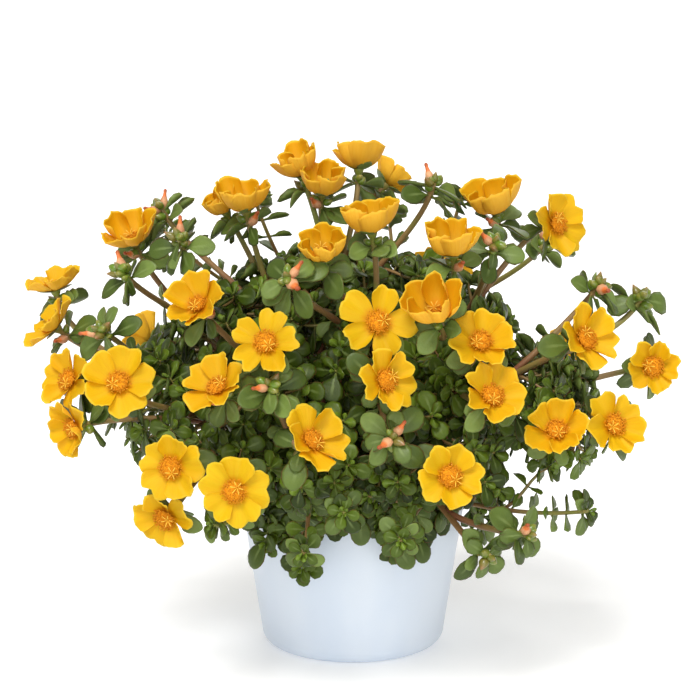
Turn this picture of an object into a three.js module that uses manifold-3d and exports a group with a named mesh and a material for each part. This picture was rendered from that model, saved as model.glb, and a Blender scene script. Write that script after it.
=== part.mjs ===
// Portulaca in a pot: a satin pot filled with soil, leafy stems that stand in holes in the soil, and blooms
// that sit on the ends of their branches. Millimetres, +Z up, origin at the centre of the pot's underside.
// A bearing turns about Z: 0 is the front (-Y), 90 is the right (+X), 180 is the back.
import * as THREE from 'three';
import { mergeVertices } from 'three/addons/utils/BufferGeometryUtils.js';
import Module from 'manifold-3d';

const wasm = await Module();
wasm.setup();

// ---------- driving dimensions ----------
const GAP = 0.3; // between solids that touch in the real plant

// edge is the radius of the bottom edge, lip the height of the rounding at the rim, fillet the slope between
// the wall and the floor inside.
const POT = {
  height: 107, rimRadius: 70.5, baseRadius: 55.5, edge: 9, wall: 3, floor: 3, lip: 1, fillet: 6, sides: 20,
};
const SOIL = { top: 95, holeDepth: 14, clear: 0.6, sides: 12 };

// jointHalf is half the length of stem that a leaf's base takes, insideRadius a side branch's where it starts
// inside the main stem, footRise how far a stem stands straight out of the soil. leave and arrive are how far
// a branch keeps its first and its last direction, and ringStep how far apart its rings are, as shares of its
// length. A tip of buds ends in a long point, a leafy one in a short one.
const STEM = {
  rootRadius: 2.8, forkRadius: 2.3, tipRadius: 1.9, insideRadius: 0.9, calyxRadius: 2.6, calyxLength: 4,
  footRise: 2, leave: 0.35, arrive: 0.3, sides: 4, jointHalf: 1.1, ringStep: 0.45, budPoint: 5, leafPoint: 1,
};

// The foliage fills an ellipsoid: its centre height and its half-axes.
const DOME = { z: 140, x: 184, y: 160, up: 148 };

const LEAF = { length: 19, width: 13, thick: 1.9, droop: 0.16, fold: 0.3 };
const SMALL_LEAF = { length: 12, width: 8.4, thick: 1.7, droop: 0.1, fold: 0.25 };
const LEAF_OUTLINE = { base: 0.1, widest: 0.62, swell: 1.15, middle: 0.55, stations: [0.38, 0.82] };
const BUD = { least: 5.5, range: 5, radius: 2.5, belly: 0.42, corner: 0.8 };

// Leaves and buds lean this many degrees from their stem, first choice first, and a leaf up to leafRange
// more. A leaf's size is from least to least + range times the usual one.
const LEAN = { leaf: [72, 52, 104], leafRange: 24, bud: [46, 62, 30] };
const LEAF_SIZE = { least: 0.82, range: 0.36 };

// Where leaves and buds grow: low and middle as shares of a branch's length, the others in mm from its end.
const JOINT = {
  low: [0.3, 0.58], middle: 0.45, underBloom: 5, underBuds: 8, buds: 1.6, shoot: 3, shootRun: [0.5, 0.4],
};

// A petal parts from its neighbours at split, by slit degrees over slitRun of its length. Halfway up it leans
// out by its bloom's opening, and up to curl degrees more at its base and less at its rim.
const PETAL = {
  thick: 0.9, split: 0.2, slit: 2, slitRun: 0.2, notch: 0.08, notchWidth: 0.28, corner: 0.14, ruffle: 0.8,
  cup: 1.2, lap: 1, curl: 34, seatRadius: 1.5, stamens: 4,
};

// Each stem has its root on the soil, as bearing and distance from the middle, and its tips. A tip is
// [bearing, lift, out] in the dome, the way it faces as [bearing, lift], and what it bears:
// bloom: [number, petal length, opening in degrees from a closed cup at 0 to a flat one at 90], or
// buds: how many, or leaves: how many whorls of small leaves. A bloom's fourth number rounds its petals'
// corners more than most. fork is where it leaves the main stem.
const STEMS = [
  { name: 'stem_crown', root: [-60, 8], tips: [
    { at: [-105, 77, 1.05], faces: [-70, 68], bloom: [1, 22.5, 33] },
    { at: [-76, 83, 0.98], faces: [15, 68], bloom: [2, 24, 31], fork: 0.6 },
    { at: [167, 84, 1.06], faces: [170, 78], bloom: [3, 22.5, 39], fork: 0.5 },
    { at: [154, 68, 0.99], faces: [120, 40], bloom: [4, 18, 50], fork: 0.4 },
    { at: [75, 71, 1], faces: [30, 70], buds: 3, fork: 0.45 }] },
  { name: 'stem_upper_front', root: [10, 12], tips: [
    { at: [7, 60.5, 1], faces: [-40, 76], bloom: [5, 23.5, 34] },
    { at: [-10.5, 50.5, 1], faces: [0, 58], bloom: [6, 20.5, 39], fork: 0.6 },
    { at: [-18, 41, 1], faces: [-10, 40], buds: 3, fork: 0.5 }] },
  { name: 'stem_upper_left', root: [-100, 24], tips: [
    { at: [-80, 64, 0.98], faces: [-50, 76], bloom: [7, 24, 37] },
    { at: [-101, 57.5, 0.97], faces: [-70, 60], bloom: [8, 17, 34], fork: 0.6 },
    { at: [-96, 47, 1.05], faces: [-60, 60], buds: 3, fork: 0.5 }] },
  { name: 'stem_left_high', root: [-85, 37], tips: [
    { at: [-88, 40.5, 1.05], faces: [-35, 60], bloom: [9, 23, 41] },
    { at: [-74, 34, 1], faces: [-60, 50], buds: 4, fork: 0.6 },
    { at: [-64, 46, 1], faces: [-30, 60], buds: 3, fork: 0.45 }] },
  { name: 'stem_far_left', root: [-95, 50], tips: [
    { at: [-93, 24, 1.12], faces: [-90, 78], bloom: [10, 20, 58] },
    { at: [-81, 19, 1.07], faces: [-75, 42], bloom: [11, 20, 62], fork: 0.6 },
    { at: [-64, 22, 1], faces: [-50, 30], buds: 4, fork: 0.5 }] },
  { name: 'stem_left', root: [-66, 44], tips: [
    { at: [-52, 14, 1], faces: [-5, 34], bloom: [29, 21.5, 72] },
    { at: [-71, 11, 1], faces: [-40, 24], bloom: [30, 18.5, 58], fork: 0.55 },
    { at: [-66, 2.5, 1], faces: [-48, -4], bloom: [31, 19, 56], fork: 0.45 }] },
  { name: 'stem_middle_left', root: [-42, 28], tips: [
    { at: [-40.5, 33, 1], faces: [-30, 42], bloom: [12, 20.5, 50] },
    { at: [-19, 26, 1.03], faces: [-8, 28], bloom: [13, 20, 64, 0.3], fork: 0.55 },
    { at: [-29, 17, 1], faces: [-32, 46], bloom: [28, 19.5, 56], fork: 0.45 }] },
  { name: 'stem_lower_left', root: [-42, 46], tips: [
    { at: [-37, 0, 1], faces: [-12, 12], bloom: [32, 18.5, 68] },
    { at: [-40, -11, 1], faces: [-25, -15], bloom: [33, 19, 60], fork: 0.65 },
    { at: [-23, -3, 1.02], faces: [-8, 5], bloom: [34, 19.5, 76], fork: 0.55 },
    { at: [-30, -12, 0.96], faces: [-60, 10], leaves: 3, fork: 0.4 }] },
  { name: 'stem_front', root: [-12, 44], tips: [
    { at: [-7.5, 8, 1], faces: [40, 35], bloom: [26, 21, 58] },
    { at: [-18, 18, 0.97], faces: [-10, 40], buds: 3, fork: 0.6 },
    { at: [-11, -18, 0.95], faces: [-10, -20], leaves: 2, fork: 0.4 },
    { at: [-2, -8, 0.95], faces: [0, 10], leaves: 2, fork: 0.5 }] },
  { name: 'stem_middle', root: [15, 27], tips: [
    { at: [6, 32, 0.97], faces: [0, 20], bloom: [14, 22, 78, 0.3] },
    { at: [7, 19, 1.04], faces: [35, 18], bloom: [25, 19.5, 60], fork: 0.6 },
    { at: [8, 8, 0.97], faces: [5, 30], buds: 3, fork: 0.5 }] },
  { name: 'stem_upper_right', root: [55, 20], tips: [
    { at: [34, 50, 1], faces: [-20, 74], bloom: [16, 23, 43] },
    { at: [18, 33, 1.07], faces: [-25, 52], bloom: [15, 24, 37], fork: 0.6 }] },
  { name: 'stem_high_right', root: [95, 26], tips: [
    { at: [89, 58, 1], faces: [-30, 64], bloom: [17, 24.5, 38] },
    { at: [94, 43, 1.03], faces: [40, 15], bloom: [18, 21, 66], fork: 0.6 },
    { at: [52, 48, 0.97], faces: [10, 50], buds: 3, fork: 0.5 }] },
  { name: 'stem_right_high', root: [80, 42], tips: [
    { at: [57, 22, 1], faces: [36, 28], bloom: [20, 21, 60] },
    { at: [75, 30, 1], faces: [40, 45], buds: 4, fork: 0.6 },
    { at: [89, 23, 1.06], faces: [40, 60], buds: 3, fork: 0.5 }] },
  { name: 'stem_right', root: [62, 50], tips: [
    { at: [87, 10, 1], faces: [5, 12], bloom: [21, 17, 60] },
    { at: [58, 5, 1], faces: [25, 22], bloom: [24, 19, 66], fork: 0.55 },
    { at: [42, 7, 1], faces: [-5, 40], bloom: [23, 20, 56], fork: 0.5 }] },
  { name: 'stem_front_right', root: [32, 42], tips: [
    { at: [29, 26, 1], faces: [5, 38], bloom: [19, 19.5, 58] },
    { at: [29, 15, 1], faces: [15, 36], bloom: [22, 19, 60], fork: 0.6 },
    { at: [19, 0, 1], faces: [12, 18], bloom: [27, 18.5, 66], fork: 0.45 }] },
  { name: 'stem_low_right', root: [44, 45], tips: [
    { at: [29, -18, 1], faces: [30, 0], buds: 3 },
    { at: [36, -13, 1.02], faces: [40, 10], buds: 3, fork: 0.6 },
    { at: [50, -10, 1.02], faces: [60, 15], leaves: 4, fork: 0.45 },
    { at: [10, -14, 0.97], faces: [0, -10], leaves: 2, fork: 0.4 }] },
  { name: 'stem_back_left', root: [-148, 34], tips: [
    { at: [-168, 21, 1], faces: [-168, 30], bloom: [35, 21, 66] },
    { at: [-128, 9, 1], faces: [-124, 16], bloom: [36, 21, 60], fork: 0.5 },
    { at: [-149, 14, 1], faces: [-152, 20], bloom: [37, 22, 72], fork: 0.45 },
    { at: [-112, 2, 1], faces: [-110, 20], buds: 3, fork: 0.4 },
    { at: [-178, 30, 1], faces: [-178, 40], buds: 3, fork: 0.55 },
    { at: [-160, -8, 0.97], faces: [-160, 0], leaves: 2, fork: 0.35 },
    { at: [-132, 57, 0.97], faces: [-130, 70], leaves: 2, fork: 0.6 },
    { at: [-113, 40, 1], faces: [-110, 50], leaves: 2, fork: 0.5 },
    { at: [-138, 5, 0.98], faces: [-138, 10], leaves: 2, fork: 0.45 },
    { at: [-118, -14, 0.9], faces: [-118, -10], leaves: 2, fork: 0.35 },
    { at: [-172, 6, 1], faces: [-172, 20], buds: 3, fork: 0.5 }] },
  { name: 'stem_back_right', root: [148, 36], tips: [
    { at: [156, 25, 1], faces: [156, 35], bloom: [38, 22, 70] },
    { at: [165, 14, 1], faces: [165, 20], bloom: [39, 21, 66], fork: 0.5 },
    { at: [130, 5, 1], faces: [128, 14], bloom: [40, 21, 60], fork: 0.45 },
    { at: [116, 36, 1], faces: [112, 50], buds: 3, fork: 0.6 },
    { at: [128, -2, 1], faces: [125, 15], buds: 3, fork: 0.4 },
    { at: [155, -10, 0.97], faces: [160, 0], leaves: 2, fork: 0.35 },
    { at: [128, 56, 0.97], faces: [130, 70], leaves: 2, fork: 0.6 },
    { at: [167, 46, 1], faces: [167, 55], leaves: 2, fork: 0.55 },
    { at: [146, 16, 0.98], faces: [146, 20], leaves: 2, fork: 0.5 },
    { at: [118, -14, 0.9], faces: [118, -10], leaves: 2, fork: 0.35 },
    { at: [178, -2, 1], faces: [178, 15], buds: 3, fork: 0.4 }] },
];

// ---------- materials ----------
const potFinish = new THREE.MeshStandardMaterial({ color: 0xdde7ee, roughness: 0.35, metalness: 0 });
const soilFinish = new THREE.MeshStandardMaterial({ color: 0x3b2a1e, roughness: 1, metalness: 0 });
const leafFinish = new THREE.MeshStandardMaterial({ color: 0x4c6b3a, roughness: 0.5, metalness: 0 });
const petalFinish = new THREE.MeshStandardMaterial({ color: 0xf9b917, roughness: 0.6, metalness: 0 });

// ---------- directions and spread ----------
const degrees = THREE.MathUtils.degToRad;

// The unit vector at a bearing and a lift above the horizontal.
function towards(bearing, lift) {
  const b = degrees(bearing);
  const l = degrees(lift);
  return new THREE.Vector3(Math.sin(b) * Math.cos(l), -Math.cos(b) * Math.cos(l), Math.sin(l));
}

// The point of the dome at a bearing and a lift, out times as far out as its surface.
function inDome([bearing, lift, out]) {
  const ray = towards(bearing, lift);
  const scaled = Math.hypot(ray.x / DOME.x, ray.y / DOME.y, ray.z / DOME.up);
  return ray.multiplyScalar(out / scaled).add(new THREE.Vector3(0, 0, DOME.z));
}

// The n-th of an even spread of numbers from 0 to 1, by the golden ratio.
function spread(n) {
  return (n * 0.6180339887) % 1;
}

// A unit vector square to axis.
function beside(axis) {
  const reference = Math.abs(axis.z) < 0.9 ? new THREE.Vector3(0, 0, 1) : new THREE.Vector3(1, 0, 0);
  return reference.cross(axis).normalize();
}

// ---------- solids ----------
function solidOf(geometry) {
  geometry.deleteAttribute('normal');
  geometry.deleteAttribute('uv');
  const merged = mergeVertices(geometry, 1e-4);
  return new wasm.Manifold(new wasm.Mesh({
    numProp: 3,
    vertProperties: new Float32Array(merged.attributes.position.array),
    triVerts: new Uint32Array(merged.index.array),
  }));
}

function geometryOf(solid) {
  const mesh = solid.getMesh();
  const geometry = new THREE.BufferGeometry();
  geometry.setAttribute('position', new THREE.BufferAttribute(mesh.vertProperties, 3));
  geometry.setIndex(new THREE.BufferAttribute(mesh.triVerts, 1));
  geometry.computeVertexNormals();
  return geometry;
}

function solidFrom(points, faces) {
  const geometry = new THREE.BufferGeometry();
  geometry.setAttribute('position', new THREE.Float32BufferAttribute(points.flatMap((p) => p.toArray()), 3));
  geometry.setIndex(faces.flat());
  return solidOf(geometry);
}

// A leaf's half-width at a share x of its length, as a share of the widest: narrow at the base, widest past
// the middle, round at the tip.
function leafHalfWidth(x) {
  const { base, widest, swell } = LEAF_OUTLINE;
  if (x > widest) return Math.sqrt(Math.max(0, 1 - ((x - widest) / (1 - widest)) ** 2));
  const s = x / widest;
  return base + (1 - base) * (s * s * (3 - 2 * s)) ** swell;
}

// The points of a thick leaf that grows from base, along way, with its upper face towards up: its outline
// from one side of the base round the tip to the other, then the middle of its upper and of its under face.
// The tip droops and the sides fold up. grow makes it larger all round, to test for room.
function leafPoints({ base, way, up, size, scale }, grow) {
  const length = size.length * scale + grow;
  const half = (size.width * scale) / 2 + grow;
  const side = up.clone().cross(way);
  const place = (x, y, lift) => base.clone()
    .addScaledVector(way, length * x)
    .addScaledVector(side, y * half)
    .addScaledVector(up, lift - size.droop * length * x * x + size.fold * Math.abs(y) * half);
  const { stations, middle } = LEAF_OUTLINE;
  return {
    outline: [
      ...stations.map((x) => place(x, -leafHalfWidth(x), 0)),
      place(1, 0, 0),
      ...stations.toReversed().map((x) => place(x, leafHalfWidth(x), 0)),
    ],
    upper: place(middle, 0, 0.4 * size.thick + grow),
    under: place(middle, 0, -0.6 * size.thick - grow),
  };
}

// The faces of a leaf on the corners a, b (below) and c, d (above) of its base, with its points from first
// on.
function leafFaces([a, b, c, d], outlineLength, first) {
  const outline = Array.from({ length: outlineLength }, (_, i) => first + i);
  const upper = first + outlineLength;
  const under = upper + 1;
  const faces = [[a, outline[0], d], [b, c, outline.at(-1)]];
  const over = [d, ...outline, c];
  const below = [a, ...outline, b];
  for (let i = 0; i < over.length; i += 1) {
    const next = (i + 1) % over.length;
    faces.push([over[i], over[next], upper], [below[next], below[i], under]);
  }
  return faces;
}

// The corners of a square of half-width half round a centre, in the order of a joint's corners.
function squareAround(centre, side, up, half) {
  return [[-half, -half], [half, -half], [half, half], [-half, half]]
    .map(([y, z]) => centre.clone().addScaledVector(side, y).addScaledVector(up, z));
}

// The points of a bud or seed capsule: a four-sided belly and a tip.
function budPoints({ base, way, up, length }, grow) {
  const side = up.clone().cross(way);
  const belly = base.clone().addScaledVector(way, BUD.belly * length);
  const half = BUD.corner * (BUD.radius + grow);
  const tip = base.clone().addScaledVector(way, length + grow);
  return { belly: squareAround(belly, side, up, half), tip };
}

function budFaces(corners, first) {
  const faces = [];
  for (let i = 0; i < 4; i += 1) {
    const next = (i + 1) % 4;
    faces.push([corners[i], corners[next], first + next], [corners[i], first + next, first + i]);
    faces.push([first + i, first + next, first + 4]);
  }
  return faces;
}

// A leaf or a bud as a solid of its own, a little off its base, to test for room.
function trialSolid(piece) {
  const { base, way, up } = piece;
  const offBase = 1;
  const baseHalf = 0.8;
  const foot = base.clone().addScaledVector(way, offBase);
  const corners = squareAround(foot, up.clone().cross(way), up, baseHalf);
  const close = [[0, 2, 1], [0, 3, 2]];
  if (piece.kind === 'leaf') {
    const { outline, upper, under } = leafPoints(piece, GAP);
    return solidFrom([...corners, ...outline, upper, under],
      [...close, ...leafFaces([0, 1, 2, 3], outline.length, 4)]);
  }
  const { belly, tip } = budPoints(piece, GAP);
  return solidFrom([...corners, ...belly, tip], [...close, ...budFaces([0, 1, 2, 3], 4)]);
}

// ---------- blooms ----------
// A petal's middle line is an arc that bends up as it goes, most in a half-closed bloom: at a share s of its
// length it is this far from the axis (radius) and above the seat (height).
function petalLine(length, open, s) {
  const curl = degrees(PETAL.curl) * Math.cos(degrees(open));
  const first = degrees(open) + curl;
  const lean = first - 2 * curl * s;
  const arcRadius = length / (2 * curl);
  return {
    radius: PETAL.seatRadius + arcRadius * (Math.cos(lean) - Math.cos(first)),
    height: arcRadius * (Math.sin(first) - Math.sin(lean)),
    lean,
  };
}

// A point of petal k: s runs from the seat to the rim, w from -1 at its left edge to 1 at its right. The rim
// is notched in the middle and round at the corners, the sides cup inwards, the edge ruffles, and the left
// edge laps in front of the right one of the next petal. below moves the point to the underside.
function petalPoint({ length, open, phase, corner }, k, s, w, below) {
  const reach = s * (1 - PETAL.notch * Math.exp(-((w / PETAL.notchWidth) ** 2)) - corner * w ** 4);
  const line = petalLine(length, open, reach);
  const slit = PETAL.slit * Math.min(1, (s - PETAL.split) / PETAL.slitRun);
  const angle = degrees(72 * k + w * (36 - slit));
  const ruffle = PETAL.ruffle * Math.sin(3 * Math.PI * w + 2.4 * k + phase);
  const inward = s * (PETAL.cup * w * w - PETAL.lap * w) + s ** 3 * ruffle - below;
  const radius = line.radius - inward * Math.cos(line.lean);
  const height = line.height + inward * Math.sin(line.lean);
  return new THREE.Vector3(radius * Math.cos(angle), radius * Math.sin(angle), height);
}

// The bloom in its own frame: seat at the origin, axis +Z. Its petals share a cup at the base, with the
// stamens as a cone in it, and part further out.
function bloomSolid(bloom) {
  const rim = [[0.93, -1], [1, -0.5], [1, 0], [1, 0.5], [0.93, 1]];
  const middle = [0.6, 0];
  const cone = petalLine(bloom.length, bloom.open, PETAL.split).height + PETAL.stamens;
  const points = [new THREE.Vector3(0, 0, cone), new THREE.Vector3(0, 0, 0)];
  const faces = [];
  for (let k = 0; k < 5; k += 1) {
    const angle = degrees(72 * k - 36);
    points.push(petalPoint(bloom, k, PETAL.split, -1, 0));
    points.push(new THREE.Vector3(STEM.calyxRadius * Math.cos(angle), STEM.calyxRadius * Math.sin(angle), 0));
  }
  for (let k = 0; k < 5; k += 1) {
    const first = points.length;
    [middle, ...rim].forEach(([s, w]) => {
      points.push(petalPoint(bloom, k, s, w, 0));
      points.push(petalPoint(bloom, k, s, w, PETAL.thick));
    });
    const left = 2 + 2 * k;
    const right = 2 + 2 * ((k + 1) % 5);
    const edge = [left, ...rim.map((_, i) => first + 2 + 2 * i), right];
    faces.push([0, left, right], [1, right + 1, left + 1]);
    faces.push([first, right, left], [first + 1, left + 1, right + 1]);
    for (let i = 0; i + 1 < edge.length; i += 1) {
      const [a, b] = [edge[i], edge[i + 1]];
      faces.push([first, a, b], [first + 1, b + 1, a + 1]);
      faces.push([a, a + 1, b + 1], [a, b + 1, b]);
    }
  }
  return solidFrom(points, faces);
}

// ---------- stems ----------
// A branch runs from start to end, leaving along leaves and arriving along faces.
function branchRoute(start, leaves, end, faces) {
  const span = start.distanceTo(end);
  return new THREE.CubicBezierCurve3(
    start,
    start.clone().addScaledVector(leaves, STEM.leave * span),
    end.clone().addScaledVector(faces, -STEM.arrive * span),
    end,
  );
}

// The joints of a branch, from its base up: the share t of its run and what grows there.
function jointsOf(tip, isMain, span) {
  const curved = 0.9 * span;
  const fromEnd = (distance) => 1 - distance / curved;
  if (tip.leaves) {
    const [first, run] = JOINT.shootRun;
    const pairs = Array.from({ length: tip.leaves - 1 },
      (_, i) => ({ t: first + (run * i) / (tip.leaves - 1), leaves: 2, size: SMALL_LEAF }));
    return [...pairs, { t: fromEnd(JOINT.shoot), leaves: 4, size: SMALL_LEAF }];
  }
  const low = isMain ? JOINT.low.map((t) => ({ t, leaves: 2, size: SMALL_LEAF })) : [];
  if (tip.bloom) return [...low, { t: fromEnd(JOINT.underBloom), leaves: 3, buds: 1, size: LEAF }];
  return [
    ...low,
    { t: JOINT.middle, leaves: 2, size: SMALL_LEAF },
    { t: fromEnd(JOINT.underBuds), leaves: 4, size: LEAF },
    { t: fromEnd(JOINT.buds), buds: tip.buds, size: LEAF },
  ];
}

// The rings of a branch: two close together at each joint, and more between where the run is long.
function ringsOf(branch) {
  const { route, joints, firstRadius, lastRadius } = branch;
  const rings = [];
  const add = (t, offset, extra = {}) => {
    const along = route.getTangent(t).normalize();
    rings.push({ centre: route.getPoint(t).addScaledVector(along, offset), along,
      radius: firstRadius + (lastRadius - firstRadius) * t, ...extra });
  };
  if (branch.foot) {
    rings.push({ centre: branch.foot, along: new THREE.Vector3(0, 0, 1), radius: firstRadius });
    add(0, 0);
  } else {
    add(0, 0, { radius: STEM.insideRadius });
  }
  let before = 0;
  joints.forEach((joint) => {
    const between = Math.round((joint.t - before) / STEM.ringStep) - 1;
    for (let i = 1; i <= between; i += 1) add(before + ((joint.t - before) * i) / (between + 1), 0);
    add(joint.t, -STEM.jointHalf, { joint });
    add(joint.t, STEM.jointHalf);
    before = joint.t;
  });
  if (branch.tip.bloom) {
    rings.push({ centre: route.v3.clone().addScaledVector(branch.faces, STEM.calyxLength),
      along: branch.faces, radius: STEM.calyxRadius });
  }
  let across = beside(rings[0].along);
  rings.forEach((ring) => {
    across = across.clone().addScaledVector(ring.along, -across.dot(ring.along)).normalize();
    ring.across = across;
    ring.third = ring.along.clone().cross(across);
  });
  return rings;
}

// A branch as one closed solid: the rings' walls, with the given pieces growing out of faces of its joints,
// closed by a flat end under a bloom and by a point elsewhere.
function branchSolid({ rings, tip, route, faces: ends }, pieces) {
  const n = STEM.sides;
  const points = rings.flatMap(({ centre, across, third, radius }) => Array.from({ length: n }, (_, k) => {
    const angle = (2 * Math.PI * k) / n;
    return centre.clone()
      .addScaledVector(across, radius * Math.cos(angle))
      .addScaledVector(third, radius * Math.sin(angle));
  }));
  const faces = [];
  for (let i = 0; i + 1 < rings.length; i += 1) {
    for (let k = 0; k < n; k += 1) {
      const [a, b] = [i * n + k, i * n + ((k + 1) % n)];
      const piece = pieces.find((candidate) => candidate.ring === i && candidate.face === k);
      if (!piece) {
        faces.push([a, b, b + n], [a, b + n, a + n]);
      } else if (piece.kind === 'leaf') {
        const { outline, upper, under } = leafPoints(piece, 0);
        faces.push(...leafFaces([a, b, b + n, a + n], outline.length, points.length));
        points.push(...outline, upper, under);
      } else {
        const { belly, tip: point } = budPoints(piece, 0);
        faces.push(...budFaces([a, b, b + n, a + n], points.length));
        points.push(...belly, point);
      }
    }
  }
  const last = (rings.length - 1) * n;
  for (let k = 1; k + 1 < n; k += 1) faces.push([0, k + 1, k]);
  if (tip.bloom) {
    for (let k = 1; k + 1 < n; k += 1) faces.push([last, last + k, last + k + 1]);
  } else {
    points.push(route.v3.clone().addScaledVector(ends, tip.buds ? STEM.budPoint : STEM.leafPoint));
    for (let k = 0; k < n; k += 1) faces.push([last + k, last + ((k + 1) % n), points.length - 1]);
  }
  return solidFrom(points, faces);
}

const stems = STEMS.map(({ name, root, tips }, stemIndex) => {
  const foot = towards(root[0], 0).multiplyScalar(root[1]).setZ(SOIL.top - SOIL.holeDepth + GAP);
  let main = null;
  const branches = tips.map((tip, tipIndex) => {
    const isMain = tipIndex === 0;
    const faces = towards(...tip.faces);
    let end = inDome(tip.at);
    let bloom = null;
    if (tip.bloom) {
      const [number, length, open, corner = PETAL.corner] = tip.bloom;
      const seat = end.clone().addScaledVector(faces, -0.5 * petalLine(length, open, 1).height);
      bloom = { number, length, open, corner, phase: number, seat, axis: faces };
      end = seat.clone().addScaledVector(faces, -GAP - STEM.calyxLength);
    }
    let start = foot.clone().setZ(SOIL.top + STEM.footRise);
    let leaves = new THREE.Vector3(0, 0, 1);
    if (!isMain) {
      start = main.getPoint(tip.fork);
      leaves = main.getTangent(tip.fork).normalize().add(end.clone().sub(start).normalize()).normalize();
    }
    const route = branchRoute(start, leaves, end, faces);
    if (isMain) main = route;
    const branch = { index: 7 * stemIndex + tipIndex, tip, route, faces, bloom, foot: isMain ? foot : null,
      firstRadius: isMain ? STEM.rootRadius : STEM.forkRadius, lastRadius: STEM.tipRadius,
      joints: jointsOf(tip, isMain, start.distanceTo(end)) };
    branch.rings = ringsOf(branch);
    return branch;
  });
  return { name, foot, branches };
});

// Every solid placed so far with its box, to find out what has room.
const placed = [];

function keep(solid) {
  placed.push({ solid, box: solid.boundingBox() });
}

function boxesMeet(a, b) {
  return [0, 1, 2].every((i) => a.min[i] < b.max[i] && b.min[i] < a.max[i]);
}

function hasRoom(solid) {
  const box = solid.boundingBox();
  return placed.every((other) => !boxesMeet(box, other.box) || solid.intersect(other.solid).isEmpty());
}

// The pieces that a branch can bear at a joint, best first: leaves and buds on the faces of its rings,
// opposite faces first, with a few leans for each.
function piecesAt(branch, ring, wanted) {
  const { joint, centre, across, third, along, radius } = branch.rings[ring];
  const first = (branch.index + ring) % STEM.sides;
  return [0, 2, 1, 3].flatMap((step) => {
    const face = (first + step) % STEM.sides;
    const angle = (2 * Math.PI * (face + 0.5)) / STEM.sides;
    const out = across.clone().multiplyScalar(Math.cos(angle)).addScaledVector(third, Math.sin(angle));
    const base = centre.clone().addScaledVector(along, STEM.jointHalf)
      .addScaledVector(out, radius * Math.cos(Math.PI / STEM.sides));
    const n = 13 * branch.index + 3 * ring + face;
    return LEAN[wanted].map((choice, i) => {
      const lean = choice + (wanted === 'leaf' && i === 0 ? LEAN.leafRange * spread(n) : 0);
      const way = along.clone().multiplyScalar(Math.cos(degrees(lean)))
        .addScaledVector(out, Math.sin(degrees(lean)));
      const up = along.clone().addScaledVector(way, -along.dot(way)).normalize();
      const scale = LEAF_SIZE.least + LEAF_SIZE.range * spread(n + 5);
      const length = BUD.least + BUD.range * spread(n + 2);
      return { kind: wanted, ring, face, base, way, up, size: joint.size, scale, length };
    });
  });
}

function bear(branch, ring, wanted, count) {
  let left = count;
  for (const piece of piecesAt(branch, ring, wanted)) {
    const taken = branch.pieces.some((other) => other.ring === ring && other.face === piece.face);
    if (left === 0) return;
    if (!taken) {
      const solid = trialSolid(piece);
      if (hasRoom(solid)) {
        branch.pieces.push(piece);
        keep(solid);
        left -= 1;
      }
    }
  }
}

const blooms = [];
for (const { branches } of stems) {
  for (const branch of branches) {
    branch.pieces = [];
    keep(branchSolid(branch, []));
    if (branch.bloom) {
      const { seat, axis } = branch.bloom;
      const turn = new THREE.Quaternion().setFromUnitVectors(new THREE.Vector3(0, 0, 1), axis);
      const solid = bloomSolid(branch.bloom);
      const matrix = new THREE.Matrix4().compose(seat, turn, new THREE.Vector3(1, 1, 1));
      keep(solid.transform(matrix.toArray()));
      blooms.push({ ...branch.bloom, solid, turn });
    }
  }
}

// Buds and large leaves take their room first, and the small leaves lower down take what is left.
for (const wanted of ['bud', 'leaf']) {
  for (const size of [LEAF, SMALL_LEAF]) {
    for (const { branches } of stems) {
      for (const branch of branches) {
        branch.rings.forEach(({ joint }, ring) => {
          const count = wanted === 'bud' ? joint?.buds : joint?.leaves;
          if (joint?.size === size) bear(branch, ring, wanted, count ?? 0);
        });
      }
    }
  }
}

// ---------- the model ----------
const group = new THREE.Group();

function addMesh(name, geometry, material, place) {
  const mesh = new THREE.Mesh(geometry, material);
  mesh.name = name;
  if (place) {
    mesh.position.copy(place.position);
    mesh.quaternion.copy(place.turn);
  }
  group.add(mesh);
}

// The pot: a tapered shell with a round bottom edge and a soft rim, open at the top. inner is the radius of
// its inside at a height.
function potShape() {
  const { height, rimRadius, baseRadius, edge, wall, floor, lip, fillet, sides } = POT;
  const slope = (rimRadius - baseRadius) / (height - edge);
  const inner = (z) => baseRadius - wall + slope * (z - edge);
  const round = (i, steps) => (Math.PI / 2) * (i / steps);
  const point = (radius, z) => new THREE.Vector2(radius, z);
  const bottomEdge = [0, 1, 2, 3, 4].map((i) => point(
    baseRadius - edge + edge * Math.sin(round(i, 4)),
    edge - edge * Math.cos(round(i, 4)),
  ));
  const profile = [
    point(0, 0),
    ...bottomEdge,
    point(rimRadius - 0.4 * lip, height - lip),
    point(rimRadius - 0.5 * wall, height),
    point(inner(height - lip) + 0.2 * lip, height - lip),
    point(inner(floor + fillet), floor + fillet),
    point(inner(floor) - fillet, floor),
    point(0, floor),
  ];
  return { geometry: new THREE.LatheGeometry(profile, sides).rotateX(Math.PI / 2), inner };
}

// The soil: it fills the pot to SOIL.top, a little clear of its wall, with a hole for each stem.
function soilShape(inner) {
  const { top, sides, holeDepth, clear } = SOIL;
  const { floor, fillet } = POT;
  const under = floor + GAP;
  const flats = Math.cos(Math.PI / sides);
  const profile = [
    new THREE.Vector2(0, under),
    new THREE.Vector2(inner(under) - fillet - clear, under),
    new THREE.Vector2((inner(under + fillet) - clear) * flats, under + fillet),
    new THREE.Vector2((inner(top) - clear) * flats, top),
    new THREE.Vector2(0, top),
  ];
  let soil = solidOf(new THREE.LatheGeometry(profile, sides).rotateX(Math.PI / 2));
  for (const { foot } of stems) {
    const radius = STEM.rootRadius + clear;
    const hole = new THREE.CylinderGeometry(radius, radius, 2 * holeDepth, STEM.sides).rotateX(Math.PI / 2);
    soil = soil.subtract(solidOf(hole.translate(foot.x, foot.y, top)));
  }
  return geometryOf(soil);
}

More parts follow.
